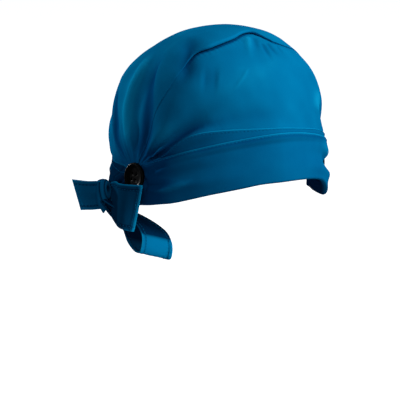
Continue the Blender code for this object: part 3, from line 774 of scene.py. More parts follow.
def fill_mesh(name, points, quads, coordinates, shade):
    """Mesh of quads with cloth coordinates in metres and a shade value at each point."""
    mesh = bpy.data.meshes.new(name)
    mesh.from_pydata(points.tolist(), [], quads.tolist())
    mesh.shade_smooth()
    layer = mesh.uv_layers.new(name="cloth")
    corner = np.empty(len(mesh.loops), dtype=np.int32)
    mesh.loops.foreach_get("vertex_index", corner)
    layer.data.foreach_set("uv", coordinates[corner].astype(np.float32).ravel())
    attribute = mesh.attributes.new("shade", "FLOAT", "POINT")
    attribute.data.foreach_set("value", shade.astype(np.float32))
    return mesh


def thick_sheet(name, points, wall, shade, material, inward=0.5):
    """Closed cloth wall about a grid of points, with a shade value at each.

    inward is the share of the wall that lies behind the points: 0.5 puts them in its middle and 1
    on its outside.
    """
    rows, columns = points.shape[:2]
    normals = grid_normals(points)
    wall = np.broadcast_to(wall, (rows, columns))[..., None]
    faces = np.stack([points + normals * wall * (1.0 - inward), points - normals * wall * inward])
    run = np.linalg.norm(np.diff(points, axis=0), axis=2)
    rise = np.linalg.norm(np.diff(points, axis=1), axis=2)
    u = np.vstack([np.zeros((1, columns)), run.cumsum(axis=0)])
    v = np.hstack([np.zeros((rows, 1)), rise.cumsum(axis=1)])
    coordinates = np.stack([u, v], -1).reshape(-1, 2)
    front, back = np.arange(2 * rows * columns).reshape(2, rows, columns)
    borders = ((front[:, -1], back[:, -1]), (back[:, 0], front[:, 0]),
               (front[0], back[0]), (back[-1], front[-1]))
    quads = [grid_quads(front), grid_quads(back.T)]
    quads += [grid_quads(np.stack(border, axis=1)) for border in borders]
    mesh = fill_mesh(name, faces.reshape(-1, 3), np.vstack(quads),
                     np.vstack([coordinates, coordinates]), np.tile(shade.ravel(), 2))
    return link_object(name, mesh, material)


def rounded(distance, radius, wall):
    """Thickness of a cloth near its border, which is round."""
    inside = np.clip(radius - distance, 0.0, radius)
    return wall * np.maximum(np.sqrt(radius * radius - inside * inside) / radius, BORDER_THINNEST)


def tube_mesh(name, paths, radius, sides=6):
    """Closed round tubes along short paths, joined into one mesh."""
    points = []
    quads = []
    ends = []
    start = 0
    swing = np.linspace(0.0, 2.0 * math.pi, sides, endpoint=False)[None, :, None]
    for path in paths:
        tangent = unit(np.gradient(path, axis=0))
        helper = UP if abs(tangent[0][2]) < 0.8 else np.array((1.0, 0.0, 0.0))
        first = unit(np.cross(tangent, helper))
        second = np.cross(tangent, first)
        ring = first[:, None, :] * np.cos(swing) + second[:, None, :] * np.sin(swing)
        along = np.linspace(-1.0, 1.0, len(path))
        taper = np.sqrt(np.clip(1.0 - along ** 6, 0.10, 1.0))
        points.append((path[:, None] + ring * (radius * taper)[:, None, None]).reshape(-1, 3))
        number = start + np.arange(len(path) * sides).reshape(len(path), sides)
        quads.append(grid_quads(np.hstack([number, number[:, :1]]).T))
        ends += [number[0][::-1].tolist(), number[-1].tolist()]
        start += number.size
    mesh = bpy.data.meshes.new(name)
    mesh.from_pydata(np.vstack(points).tolist(), [], np.vstack(quads).tolist() + ends)
    mesh.shade_smooth()
    return mesh


def stitches(path, normals):
    """Short thread paths along a line on the cloth."""
    run = np.concatenate([[0.0], np.linalg.norm(np.diff(path, axis=0), axis=1).cumsum()])
    arch = STITCH_LIFT + STITCH_ARCH * np.sin(np.linspace(0.0, math.pi, 5))
    result = []
    for start in np.arange(0.5 * STITCH_PITCH, run[-1] - STITCH_LENGTH, STITCH_PITCH):
        places = start + STITCH_LENGTH * np.linspace(0.0, 1.0, 5)
        line, out = (np.stack([np.interp(places, run, column) for column in rows.T], 1)
                     for rows in (path, normals))
        result.append(line + unit(out) * arch[:, None])
    return result


def sew(thing, shape, lines, thread):
    """Running stitches on a thick sheet, along columns or rows of its grid of points.

    shape is the grid's rows and columns. Each line is (kind, number, side): kind is "column" or
    "row", and side 1 is the sheet's outer face and -1 its inner face.
    """
    places = np.empty(len(thing.data.vertices) * 3)
    thing.data.vertices.foreach_get("co", places)
    faces = places.reshape(2, *shape, 3)
    paths = []
    for kind, number, side in lines:
        shown, hidden = faces if side > 0 else faces[::-1]
        pick = (slice(None), number) if kind == "column" else (number, slice(None))
        paths += stitches(shown[pick], unit(shown[pick] - hidden[pick]))
    name = thing.name + "_stitches"
    link_object(name, tube_mesh(name, paths, THREAD_RADIUS), thread)


def sewn_ribbon(name, points, wall, shade, lines, cloth, thread):
    """Thick sheet of ribbon with its running stitches."""
    ribbon = thick_sheet(name, points, wall, shade, cloth)
    sew(ribbon, points.shape[:2], lines, thread)


def ear_shade(turns, start):
    """Painted shade where the cloth is bunched over the ears."""
    return EAR_SHADE * fade_in(np.abs(turns), start, EAR_SHADE_FADE)


def ear_gathers(angles, turns):
    """Fine pleats that run into the gathered seam over each ear."""
    random = np.random.default_rng(EAR_PLEATS["seed"])
    around = np.abs(turns)
    height = np.zeros(angles.shape)
    for _ in range(EAR_PLEATS["layers"]):
        pitch = random.uniform(*EAR_PLEATS["pitch"])
        phase = random.uniform(0.0, 2.0 * math.pi)
        drift = random.uniform(-EAR_PLEATS["drift"], EAR_PLEATS["drift"])
        wave = angles + drift * (around - EAR_PLEATS["pivot"])
        wave = wave + EAR_PLEATS["shift"] * (turns > 0.0)
        height += np.sin(2.0 * math.pi * wave / pitch + phase)
    window = fade_in(around, 52.0, 26.0) * fade_out(around, 90.5, 7.0)
    return np.where(turns < 0.0, EAR_PLEATS["right"], EAR_PLEATS["left"]) * height * window


def bare_crown(angle, turn):
    """Outside of the crown without the bag's step."""
    return crown_point(angle, turn, stepped=False)


def crown_sheet(angles, turns, height):
    """Points of a crown piece: its plain surface, raised by a height and by its creases."""
    plain = bare_crown(angles, turns)
    nudge = 0.05
    along = bare_crown(angles, turns + nudge) - bare_crown(angles, turns - nudge)
    across = bare_crown(angles + nudge, turns) - bare_crown(angles - nudge, turns)
    normals = unit(np.cross(along, across))
    from_seam = np.minimum(angles - FIRST_HOOP, LAST_HOOP - angles)
    creased = relief(plain, normals, bare_crown, CROWN_CREASES) * fade_in(from_seam, -1.0, 5.0)
    soft = slack(plain, CROWN_SLACK) * fade_out(np.abs(turns), 90.0, 12.0)
    lift = creased + ear_gathers(angles, turns) + soft
    return plain + normals * (height + lift)[..., None], lift


def turned_in(edge):
    """Seam allowance below an edge of the crown: a short run of cloth inside the band."""
    inward = unit(edge * np.array((1.0, 1.0, 0.0)))
    gap, slant, depth = (ALLOWANCE[key] for key in ("gap", "slant", "depth"))
    return [edge - inward * (gap + slant * step) - UP * depth * step for step in ALLOWANCE["steps"]]


def with_allowance(points, values, front):
    """A crown piece with its allowances over both ears and along its front or back edge.

    values holds arrays with one number a point, such as thickness, which are carried over.
    """
    steps = turned_in(points[:, 0] if front else points[:, -1])
    added = np.stack(steps[::-1] if front else steps, axis=1)
    points = np.concatenate([added, points] if front else [points, added], axis=1)
    ears = [np.stack(turned_in(points[0])[::-1]), points, np.stack(turned_in(points[-1]))]
    sides = (len(steps), 0) if front else (0, len(steps))
    values = [np.pad(value, ((len(steps), len(steps)), sides), mode="edge") for value in values]
    return np.concatenate(ears), values


def build_panel(cloth):
    """Front panel of the crown, tucked under the bag's edge at the top."""
    turns = np.linspace(-90.0, 90.0, 281)[:, None]
    share = np.linspace(0.0, 1.0, 96)[None, :]
    seam = read_table(SEAM_LINE, "turn", "angle", turns)
    angles = FIRST_HOOP + (seam + PANEL_TUCK - FIRST_HOOP) * share
    turns = np.broadcast_to(turns, angles.shape)
    ahead = np.radians(seam - angles) * CROWN_RISE
    roll = read_table(SEAM_LINE, "turn", "roll", turns)
    sink = SEAM_PRESS * np.maximum(roll - SEAM_PRESS_FREE, 0.0) * near(ahead, 0.005)
    sink = sink + PANEL_SINK * fade_out(ahead, 0.0, 0.003)
    pucker = PUCKER * uneven_waves(turns, 2.9, 2.0, 0.37)
    pucker = pucker * near(ahead, 0.012) * fade_in(turns, -46.0, 16.0)
    points, lift = crown_sheet(angles, turns, pucker - sink)
    # Painted shadow under the bag's rolled edge along the seam, painted shade over the ears, and the
    # creases' lift painted darker in valleys and lighter on ridges
    tucked = fade_in(turns, -42.0, 10.0) * fade_out(turns, 26.0, 32.0)
    shade = lift + ear_shade(turns, 62.0) - SEAM_SHADE * tucked * fade_out(ahead, 0.0042, 0.003)
    points, (shade,) = with_allowance(points, [shade], front=True)
    thick_sheet("front_panel", points, CLOTH, shade, cloth, inward=1.0)


def build_bag(cloth):
    """Gathered bag of the crown, its front edge rolled over the panel seam."""
    turns = np.linspace(-90.0, 90.0, 281)[:, None]
    seam = read_table(SEAM_LINE, "turn", "angle", turns)
    radius = 0.5 * read_table(SEAM_LINE, "turn", "roll", turns)
    swing = np.radians(np.array(BAG_ROLL_SWINGS))
    flap = np.array(BAG_FLAP) * radius
    share = np.linspace(0.0, 1.0, 151)[1:][None, :] ** BAG_ROW_EASE
    per_metre = math.degrees(1.0 / CROWN_RISE)
    angles = np.hstack([
        seam + flap * per_metre,
        seam - radius * np.cos(swing) * per_metre,
        seam + (LAST_HOOP - seam) * share,
    ])
    cad_step = BAG_STEP * smooth_step(np.cos(np.radians(turns)) / BAG_ROLL_FADE)
    settle = smooth_step(share * 6.0)
    height = np.hstack([
        np.zeros_like(flap),
        radius * (1.0 + np.sin(swing)),
        2.0 * radius * (1.0 - settle) + cad_step * settle,
    ])
    thin = THIN_SHARE * radius
    thicker = np.hstack([np.zeros(len(BAG_FLAP) + len(swing)), smooth_step(share[0] * 20.0)])
    wall = np.minimum(CLOTH, thin + CLOTH * thicker)
    turns = np.broadcast_to(turns, angles.shape)
    hem = fade_in(angles, 165.0, 12.0) * fade_out(angles, LAST_HOOP, 5.0)
    hem = hem * fade_out(np.abs(turns), 88.0, 12.0)
    pleats = BAG_PLEAT * hem * uneven_waves(turns, 0.62, 1.3, 0.11)
    points, lift = crown_sheet(angles, turns, height + pleats)
    # Painted colour: the creases' lift darker in valleys and lighter on ridges, painted shade over the
    # ears
    points, (shade, wall) = with_allowance(points, [lift + ear_shade(turns, 66.0), wall], front=False)
    thick_sheet("bag", points, wall, shade, cloth, inward=1.0)


def build_casing(cloth, thread):
    """Strip of folded cloth between the front panel and the band."""
    turns = np.linspace(-CASING_END, CASING_END, 241)[:, None]
    stations = turns * EAR_STATION / 90.0
    top = read_table(CASING_LINE, "turn", "angle", turns)
    width = np.radians(top - FIRST_HOOP) * CASING_RADIUS + CASING_BASE
    edge = np.array(CASING_ROWS) / np.maximum(width, 0.003)
    across = np.hstack([edge, on_rows(np.linspace(0.0, 1.0, 12)[3:], turns)])
    across = np.sort(np.clip(across, 0.0, 1.0), axis=1)
    under = on_rows(np.linspace(1.0, 0.90, 5)[1:], turns)
    upper = bare_crown(top - (top - FIRST_HOOP) * across, turns)
    plain = np.hstack([upper, band_point(stations, under)])[:, ::-1]
    rise = np.hstack([np.ones_like(across), 1.0 - 1.4 * fade_out(under, 1.0, 0.06)])[:, ::-1]
    distance = np.hstack([across * width, width + 0.002 * np.arange(1, 5)])[:, ::-1]
    wall = rounded(distance, BAND_BORDER, CASING_CLOTH)
    sunk = CASING_SINK * near(CASING_END - np.abs(turns), 14.0)
    points = plain + grid_normals(plain) * (CASING_PROUD * rise - sunk)[..., None]
    # Painted highlight along the strip's upper edge, fading out towards the right ear, and painted
    # shade
    painted_edge_light = CASING_EDGE_HIGHLIGHT * near(distance, 0.0012) * fade_in(turns, -60.0, 18.0)
    shade = ear_shade(stations, 44.0) + BAND_SHADE + painted_edge_light
    strip = thick_sheet("casing_strip", points, wall, shade, cloth, inward=0.6)
    sew(strip, wall.shape, CASING_STITCHES, thread)


def rolled_rim(points, normals):
    """Lower edge of the band: its outside curls under and runs up inside as a short flap."""
    edge = points[:, 0]
    out = normals[:, 0]
    down = unit(points[:, 0] - points[:, 2])
    flap = [edge - out * (2.0 * RIM_RADIUS) - down * rise for rise in np.linspace(*RIM_FLAP, 7)]
    curl = [
        edge + down * (RIM_RADIUS * math.sin(swing)) - out * (RIM_RADIUS * (1.0 - math.cos(swing)))
        for swing in np.radians(np.linspace(12.0, 180.0, 12))
    ]
    return np.stack(flap[::-1] + curl[::-1], axis=1)


def build_band(cloth, thread):
    """Deep band, its lower edge folded under in a soft roll and its upper edge lower on the left."""
    stations = np.linspace(-90.0, 90.0, 301)[:, None]
    top = 1.0 - BAND_TOP_DROP * fade_in(stations, -5.0, 45.0)
    low = read_table(BAND_LOW, "station", "share", stations)
    middle = low + (top - 0.1 - low) * np.linspace(1.0, 0.0, 46)
    shares = np.hstack([top - np.array(BAND_TOP_STEPS), middle])[:, ::-1]
    plain = band_point(stations, shares)
    normals = grid_normals(plain)
    lift = relief(plain, normals, band_point, BAND_CREASES) + slack(plain, BAND_SLACK)
    proud = BAND_PROUD * fade_in(shares, 0.78, 0.14) * fade_out(np.abs(stations), 90.0, 14.0)
    points = plain + normals * (proud + lift)[..., None]
    rim = rolled_rim(points, normals)
    points = np.concatenate([rim, points], axis=1)
    from_top = (top - shares) * BAND_SPAN
    # Painted highlight along the upper edge, fading out towards the right ear, a painted shadow line
    # just below it, painted shade over the ears, and the lift painted darker in valleys
    painted_edge_light = BAND_EDGE_HIGHLIGHT * near(from_top, 0.0011) * fade_in(stations, -70.0, 30.0)
    painted_edge_light = painted_edge_light + BAND_GROOVE_SHADE * bell(from_top - 0.0022, 0.0008)
    shade = np.hstack([np.zeros(rim.shape[:2]), lift + painted_edge_light])
    shade = shade + ear_shade(stations, 48.0) + BAND_SHADE
    border = rounded(np.array(BAND_TOP_STEPS[::-1]) * BAND_SPAN, BAND_BORDER, BAND_CLOTH)
    wall = np.full(points.shape[:2], BAND_CLOTH)
    wall[:, -len(border):] = border
    band = thick_sheet("band", points, wall, shade, cloth, inward=0.9)
    sew(band, wall.shape, BAND_STITCHES, thread)


def hemmed(across, width):
    """Thickness of a ribbon with a folded hem and a stitched groove along both borders."""
    distance = np.minimum(across, 1.0 - across) * width
    hem = HEM_THICKNESS * fade_out(distance, HEM_WIDTH, HEM_STEP)
    groove = HEM_GROOVE_DEPTH * bell(distance - HEM_GROOVE, HEM_GROOVE_WIDTH)
    return rounded(distance, RIBBON_BORDER, RIBBON_CLOTH + hem - groove)


def hem_shade(across, width):
    """Painted highlight along a hem's edge and painted shade in its stitched groove."""
    distance = np.minimum(across, 1.0 - across) * width
    edge = HEM_EDGE_HIGHLIGHT * near(distance - 0.0002, EDGE_HIGHLIGHT_WIDTH)
    return edge + HEM_GROOVE_SHADE * bell(distance - HEM_GROOVE, 0.0005)


def border_steps(width, inner):
    """Shares across a ribbon, close together at its hems."""
    edge = np.array(HEM_ROWS) / width
    middle = np.linspace(edge[-1], 1.0 - edge[-1], inner)[1:-1]
    return np.concatenate([edge, middle, 1.0 - edge[::-1]])[None, :]


def build_ribbon(cloth, thread):
    """Ribbon round the back, tucked under both ends of the band."""
    first, last = RIBBON_ENDS
    stations = np.linspace(first, last, 281)[:, None]
    shares = border_steps(RIBBON_WIDTH, 14)
    plain = ribbon_point(stations, shares)
    normals = grid_normals(plain)
    inside = np.minimum(stations - first, last - stations)
    proud = RIBBON_PROUD - RIBBON_TUCK * near(inside - 4.0, 4.0)
    middle = smooth_step(np.minimum(shares, 1.0 - shares) / 0.15)
    pleat = RIBBON_PLEAT * bell(stations - KNOT_STATION, 9.0) * np.sin(shares * 19.0) * middle
    lift = slack(plain, RIBBON_SLACK) + pleat + relief(plain, normals, ribbon_point, RIBBON_CREASES)
    rise = lift + proud
    rise = rise - np.maximum(rise - RIBBON_TOP_PROUD, 0.0) * fade_in(shares, 0.7, 0.3)
    hug = knot_pull(stations) * fade_in(shares, 0.45, 0.5)
    points = plain + normals * (rise - hug)[..., None]
    points[..., 2] += RIBBON_TOP_OVER * fade_in(shares, 0.8, 0.2) * fade_in(inside, 4.0, 6.0)
    # Painted colour: the lift darker in valleys and lighter on ridges, painted highlights and groove
    # shade along the hems, and painted shade beside the knot
    shade = lift + hem_shade(shares, RIBBON_WIDTH)
    shade = shade + RIBBON_SHADE * fade_out(np.abs(stations - 262.0), 34.0, 20.0)
    sewn_ribbon("ribbon", points, hemmed(shares, RIBBON_WIDTH), shade, OUTER_HEM_STITCHES,
                cloth, thread)


def cloth_around(surface, station):
    """Points of a cloth surface near a station."""
    beside = np.linspace(station - 9.0, station + 9.0, 25)[:, None]
    return surface(beside, np.linspace(0.0, 1.0, 17)[None, :]).reshape(-1, 3)


def knot_frame():
    """Centre of the knot, with its directions away from the head and forward along the ribbon."""
    outward = seam_outward(np.array(KNOT_STATION))
    forward = np.array((outward[1], -outward[0], 0.0))
    if forward[1] > 0.0:
        forward = -forward
    seat = ribbon_point(KNOT_STATION, 0.5)
    offset = cloth_around(ribbon_point, KNOT_STATION) - seat
    along = np.abs(2.0 * (offset @ forward) / KNOT_LENGTH) ** KNOT_SQUARE
    climb = np.abs(2.0 * (offset[:, 2] + KNOT_DROP) / KNOT_HEIGHT) ** KNOT_SQUARE
    left = np.maximum(1.0 - along - climb, 0.0)
    half = 0.5 * CAD_KNOT_WIDTH * left ** (1.0 / KNOT_SQUARE)
    standoff = np.where(left > 0.0, offset @ outward + half, 0.0).max()
    centre = seat + outward * (standoff + SEAT_GAP)
    centre[2] -= KNOT_DROP
    return centre, outward, forward


def build_knot(cloth):
    """Wrapped knot with pressed turns, a small hollow and a pulled tip."""
    centre, outward, forward = knot_frame()
    around = np.linspace(0.0, 2.0 * math.pi, 120)[:, None]
    polar = np.broadcast_to(np.linspace(0.0, math.pi, 72), (len(around), 72))
    ball = np.stack([np.sin(polar) * np.cos(around), np.sin(polar) * np.sin(around), np.cos(polar)], -1)
    swell = (np.abs(ball) ** KNOT_ROUND).sum(axis=-1) ** (-1.0 / KNOT_ROUND)
    from_eye = np.linalg.norm(ball - np.array(KNOT_EYE), axis=-1)
    turns = np.abs(np.sin(KNOT_TURNS * from_eye + 0.5 * np.sin(2.0 * around)))
    valley = (1.0 - turns) ** 2 * fade_in(from_eye, 0.15, 0.2)
    eye = bell(from_eye, KNOT_EYE_WIDTH)
    groove = 1.0 - KNOT_GROOVE * valley
    x, y, z = np.moveaxis(ball, -1, 0)
    tip = bell(y - 0.1, 0.35) * bell(x - 0.15, 0.22) * smooth_step(-z * 3.0 - 1.6)
    out = 0.5 * CAD_KNOT_WIDTH * x * swell * groove
    ahead = 0.5 * KNOT_LENGTH * y * swell * groove * (1.0 - KNOT_HOLLOW * eye)
    climb = 0.5 * KNOT_HEIGHT * z * swell * (0.4 + 0.6 * groove) - KNOT_TIP * tip
    places = centre + outward * out[..., None] + forward * ahead[..., None] + UP * climb[..., None]
    number = np.arange(polar.size).reshape(polar.shape)
    coordinates = np.stack([around * 0.006 + 0.0 * polar, polar * 0.012], -1)
    # Painted shade in the grooves between the turns and in the hollow
    mesh = fill_mesh("knot_wrap", places.reshape(-1, 3),
                     grid_quads(np.vstack([number[:-1], number[:1]]).T),
                     coordinates.reshape(-1, 2), (KNOT_SHADE * (valley + eye)).ravel())
    tidy_mesh(mesh)
    link_object("knot_wrap", mesh, cloth)


def tidy_mesh(mesh):
    """Weld doubled points and make the faces point out."""
    shape = bmesh.new()
    shape.from_mesh(mesh)
    bmesh.ops.remove_doubles(shape, verts=shape.verts, dist=0.00002)
    bmesh.ops.recalc_face_normals(shape, faces=shape.faces)
    shape.to_mesh(mesh)
    shape.free()


def scaled(table, share, size, *columns):
    """Columns of a table of shares, made lengths of a size."""
    return [size * read_table(table, "share", column, share) for column in columns]


def back_tail(cloth):
    """Short free end of the bow behind the knot."""
    centre, outward, forward = knot_frame()
    away = unit(outward - forward * BACK_TAIL_SWING)
    root = centre + outward * (0.5 * CAD_KNOT_WIDTH - 0.5 * ROOT_OVERLAP)
    share = np.linspace(0.0, 1.0, 61)[:, None]
    across = border_steps(BACK_TAIL_WIDTH, 14)
    low, high = scaled(BACK_TAIL, share, BACK_TAIL_LENGTH, "length_low", "length_top")
    bottom, top, wave = scaled(BACK_TAIL, share, RIBBON_WIDTH, "bottom", "top", "wave")
    length = low + (high - low) * across - TAIL_BURIED * near(share * 3.0, 1.0)
    fold = BACK_TAIL_FOLD * np.sin(across * 11.0 + 1.0) * near(share * 1.6, 1.0)
    points = root + away * length[..., None] + np.cross(UP, away) * (wave + fold)[..., None]
    points = points + UP * (bottom + (top - bottom) * across)[..., None]
    end = (1.0 - share) * BACK_TAIL_LENGTH
    wall = hemmed(across, BACK_TAIL_WIDTH)
    wall = np.minimum(wall, rounded(end, RIBBON_BORDER, wall))
    # Painted shade over the whole tail, painted highlights and groove shade along its hems, and a
    # painted highlight along its end
    shade = BACK_TAIL_SHADE + hem_shade(across, BACK_TAIL_WIDTH)
    shade = shade + BACK_TAIL_END_HIGHLIGHT * near(end - 0.0002, EDGE_HIGHLIGHT_WIDTH)
    return thick_sheet("tail_back_cloth", points, wall, shade, cloth), wall.shape


def front_tail(cloth):
    """Longer free end of the bow, which runs forward from the knot."""
    centre, outward, forward = knot_frame()
    root = centre + forward * (0.5 * KNOT_LENGTH - ROOT_OVERLAP)
    share = np.linspace(0.0, 1.0, 61)[:, None]
    across = border_steps(FRONT_TAIL_WIDTH, 18)[:, ::-1]
    low, high = scaled(FRONT_TAIL, share, FRONT_TAIL_LENGTH, "ahead_low", "ahead_top")
    bottom, top = scaled(FRONT_TAIL, share, RIBBON_WIDTH, "bottom", "top")
    out, = scaled(FRONT_TAIL, share, CAD_KNOT_WIDTH, "out")
    fold = FRONT_TAIL_FOLD * np.sin(share * 10.0 + across * 2.0) * smooth_step(share * 3.0)
    gather = TAIL_GATHER * np.sin(across * 15.0) * near(share * 2.2, 1.0)
    points = root + forward * (low + (high - low) * across)[..., None]
    points = points + outward * (out + fold + gather)[..., None]
    points = points + UP * (bottom + (top - bottom) * across)[..., None]
    end = (1.0 - share) * FRONT_TAIL_LENGTH * 0.8
    wall = hemmed(across, FRONT_TAIL_WIDTH) + HEM_THICKNESS * fade_out(end, HEM_WIDTH, HEM_STEP)
    wall = np.minimum(wall, rounded(end, RIBBON_BORDER, wall))
    # Painted shade over the whole tail, painted highlights and groove shade along its hems, and a
    # painted highlight along its end
    shade = FRONT_TAIL_SHADE + hem_shade(across, FRONT_TAIL_WIDTH)
    shade = shade + FRONT_TAIL_END_HIGHLIGHT * near(end - 0.0015, EDGE_HIGHLIGHT_WIDTH)
    return thick_sheet("tail_front_cloth", points, wall, shade, cloth), wall.shape


def build_tails(cloth, thread):
    """Both free ends of the bow, with stitches along their hems."""
    tails = ((*back_tail(cloth), BACK_TAIL_ROW), (*front_tail(cloth), FRONT_TAIL_ROW))
    for tail, shape, row in tails:
        sew(tail, shape, HEM_STITCHES + (("row", row, 1), ("row", row, -1)), thread)


def build_loop(cloth, thread):
    """Hanging loop of the bow."""
    centre, outward, forward = knot_frame()
    root = centre + forward * (0.5 * KNOT_LENGTH - ROOT_OVERLAP)
    slant = math.radians(LOOP_SLANT)
    full = -outward * math.cos(slant) - UP * math.sin(slant)
    share = np.linspace(0.0, 1.0, 181)[:, None]
    ahead, = scaled(BOW_LOOP, share, LOOP_REACH, "ahead")
    down, = scaled(BOW_LOOP, share, LOOP_DROP, "down")
    inboard, wide = scaled(BOW_LOOP, share, RIBBON_WIDTH, "inboard", "wide")
    across = border_steps(RIBBON_WIDTH, 14)
    middle = root + forward * ahead[..., None] - outward * inboard[..., None] - UP * down[..., None]
    points = middle + full * (wide * (across - 0.5))[..., None]
    pinch = near(np.minimum(share, 1.0 - share) * 5.0, 1.0)
    fold = LOOP_FOLD * pinch * np.sin(across * 17.0) + slack(points, LOOP_SLACK)
    points = points + grid_normals(points) * fold[..., None]
    # Painted colour: the folds' lift, painted highlights and groove shade along the hems, and painted
    # shade on the part that runs back up to the knot and on the inside
    shade = fold + hem_shade(across, RIBBON_WIDTH) + LOOP_BACK_SHADE * fade_in(share, 0.74, 0.05)
    shade = shade + LOOP_INSIDE_SHADE * fade_out(share, 0.45, 0.1)
    sewn_ribbon("loop_cloth", points, hemmed(across, RIBBON_WIDTH), shade, HEM_STITCHES,
                cloth, thread)


def button_seat(station):
    """Middle of a button's back and the direction it faces."""
    seat = band_point(station, BUTTON_SHARE)
    along = band_point(station + 3.0, BUTTON_SHARE) - band_point(station - 3.0, BUTTON_SHARE)
    rise = band_point(station, BUTTON_SHARE + 0.1) - band_point(station, BUTTON_SHARE - 0.1)
    normal = unit(np.cross(along, rise))
    offset = cloth_around(band_point, station) - seat
    height = offset @ normal
    beside = np.linalg.norm(offset - height[:, None] * normal, axis=1)
    under = beside < 0.5 * BUTTON_DIAMETER + SEAT_GAP
    return seat + normal * (max(height[under].max(), 0.0) + SEAT_GAP), normal


def add_drill(place):
    """Cylinder that cuts one hole of a button. place is the hole's angle round the middle."""
    reach = BUTTON_HOLE_PITCH * math.sqrt(0.5)
    bpy.ops.mesh.primitive_cylinder_add(
        vertices=28, radius=0.5 * BUTTON_HOLE, depth=4.0 * BUTTON_THICKNESS,
        location=(reach * math.cos(place), reach * math.sin(place), 0.0),
    )
    return bpy.context.object


def button_mesh(name):
    """Four-hole button, its back on the ground and its face up."""
    outline = zip(BUTTON_OUTLINE["across"], BUTTON_OUTLINE["height"])
    corners = [(0.5 * BUTTON_DIAMETER * across, 0.0, BUTTON_THICKNESS * height)
               for across, height in outline]
    profile = bpy.data.meshes.new("button_profile")
    profile.from_pydata(corners, [(index, index + 1) for index in range(len(corners) - 1)], [])
    blank = bpy.data.objects.new("button_blank", profile)
    bpy.context.scene.collection.objects.link(blank)
    turned = blank.modifiers.new("turn", "SCREW")
    turned.steps = turned.render_steps = 96
    turned.use_merge_vertices = True
    turned.merge_threshold = 0.00001
    drills = [add_drill(math.radians(place)) for place in (45.0, 135.0, 225.0, 315.0)]
    for drill in drills:
        blank.modifiers.new("hole", "BOOLEAN").object = drill
    rim = blank.modifiers.new("edges", "BEVEL")
    rim.width = BUTTON_EDGE
    rim.segments = 2
    rim.angle_limit = math.radians(50.0)
    bpy.context.view_layer.update()
    graph = bpy.context.evaluated_depsgraph_get()
    mesh = bpy.data.meshes.new_from_object(blank.evaluated_get(graph))
    for helper in drills + [blank]:
        bpy.data.objects.remove(helper)
    mesh.name = name
    mesh.materials.clear()
    mesh.shade_smooth()
    mesh.set_sharp_from_angle(angle=math.radians(40.0))
    return mesh


def build_button(name, station, plastic, thread):
    """Polished four-hole button with its sewing thread."""
    seat, normal = button_seat(station)
    turn = Vector(normal).to_track_quat("Z", "Y").to_matrix()
    mesh = button_mesh(name)
    mesh.transform(Matrix.Translation(Vector(seat)) @ turn.to_4x4())
    link_object(name, mesh, plastic)
    half = 0.5 * BUTTON_HOLE_PITCH
    places = np.linspace(-1.0, 1.0, 9)
    arch = BUTTON_STRAND_TOP - BUTTON_STRAND_DROP * np.abs(places) ** 6
    strands = []
    for side in (-half, half):
        for shift in (-BUTTON_STRAND_SHIFT, BUTTON_STRAND_SHIFT):
            row = np.stack([half * places * 1.02, side + shift + 0.0 * places, arch], 1)
            strands.append(seat + row @ np.array(turn).T)
    name = name + "_thread"
    link_object(name, tube_mesh(name, strands, BUTTON_THREAD_RADIUS), thread)


def plug(tree, node, inputs):
    """Fill a shader node's inputs: a socket is linked to them and any other value is set."""
    for key, value in inputs.items():
        if isinstance(value, bpy.types.NodeSocket):
            tree.links.new(value, node.inputs[key])
        else:
            node.inputs[key].default_value = value


def add_node(tree, kind, inputs, result=0, **properties):
    """Add a shader node with its properties and inputs, and return one of its outputs."""
    node = tree.nodes.new("ShaderNode" + kind)
    for key, value in properties.items():
        setattr(node, key, value)
    plug(tree, node, inputs)
    return node.outputs[result]


def add_ramp(tree, factor, stops):
    """Colour that a factor picks from a ramp of (position, colour) stops."""
    result = add_node(tree, "ValToRGB", {"Fac": factor})
    elements = result.node.color_ramp.elements
    for index, (position, colour) in enumerate(stops):
        element = elements[index] if index < 2 else elements.new(position)
        element.position = position
        element.color = colour
    return result


def object_noise(tree, scale, detail):
    """Noise that is fixed to the piece."""
    place = add_node(tree, "TexCoord", {}, "Object")
    return add_node(tree, "TexNoise", {"Vector": place, "Scale": scale, "Detail": detail}, "Fac")


def add_bump(tree, height, strength, distance, under=None):
    """Fine relief on the surface, or on another relief."""
    inputs = {"Height": height, "Strength": strength, "Distance": distance}
    if under:
        inputs["Normal"] = under
    return add_node(tree, "Bump", inputs)


def new_material(name, settings):
    """New material with some of its shader's sockets set, its node tree and its shader."""
    material = bpy.data.materials.new(name)
    material.use_nodes = True
    tree = material.node_tree
    shader = tree.nodes["Principled BSDF"]
    plug(tree, shader, settings)
    return material, tree, shader


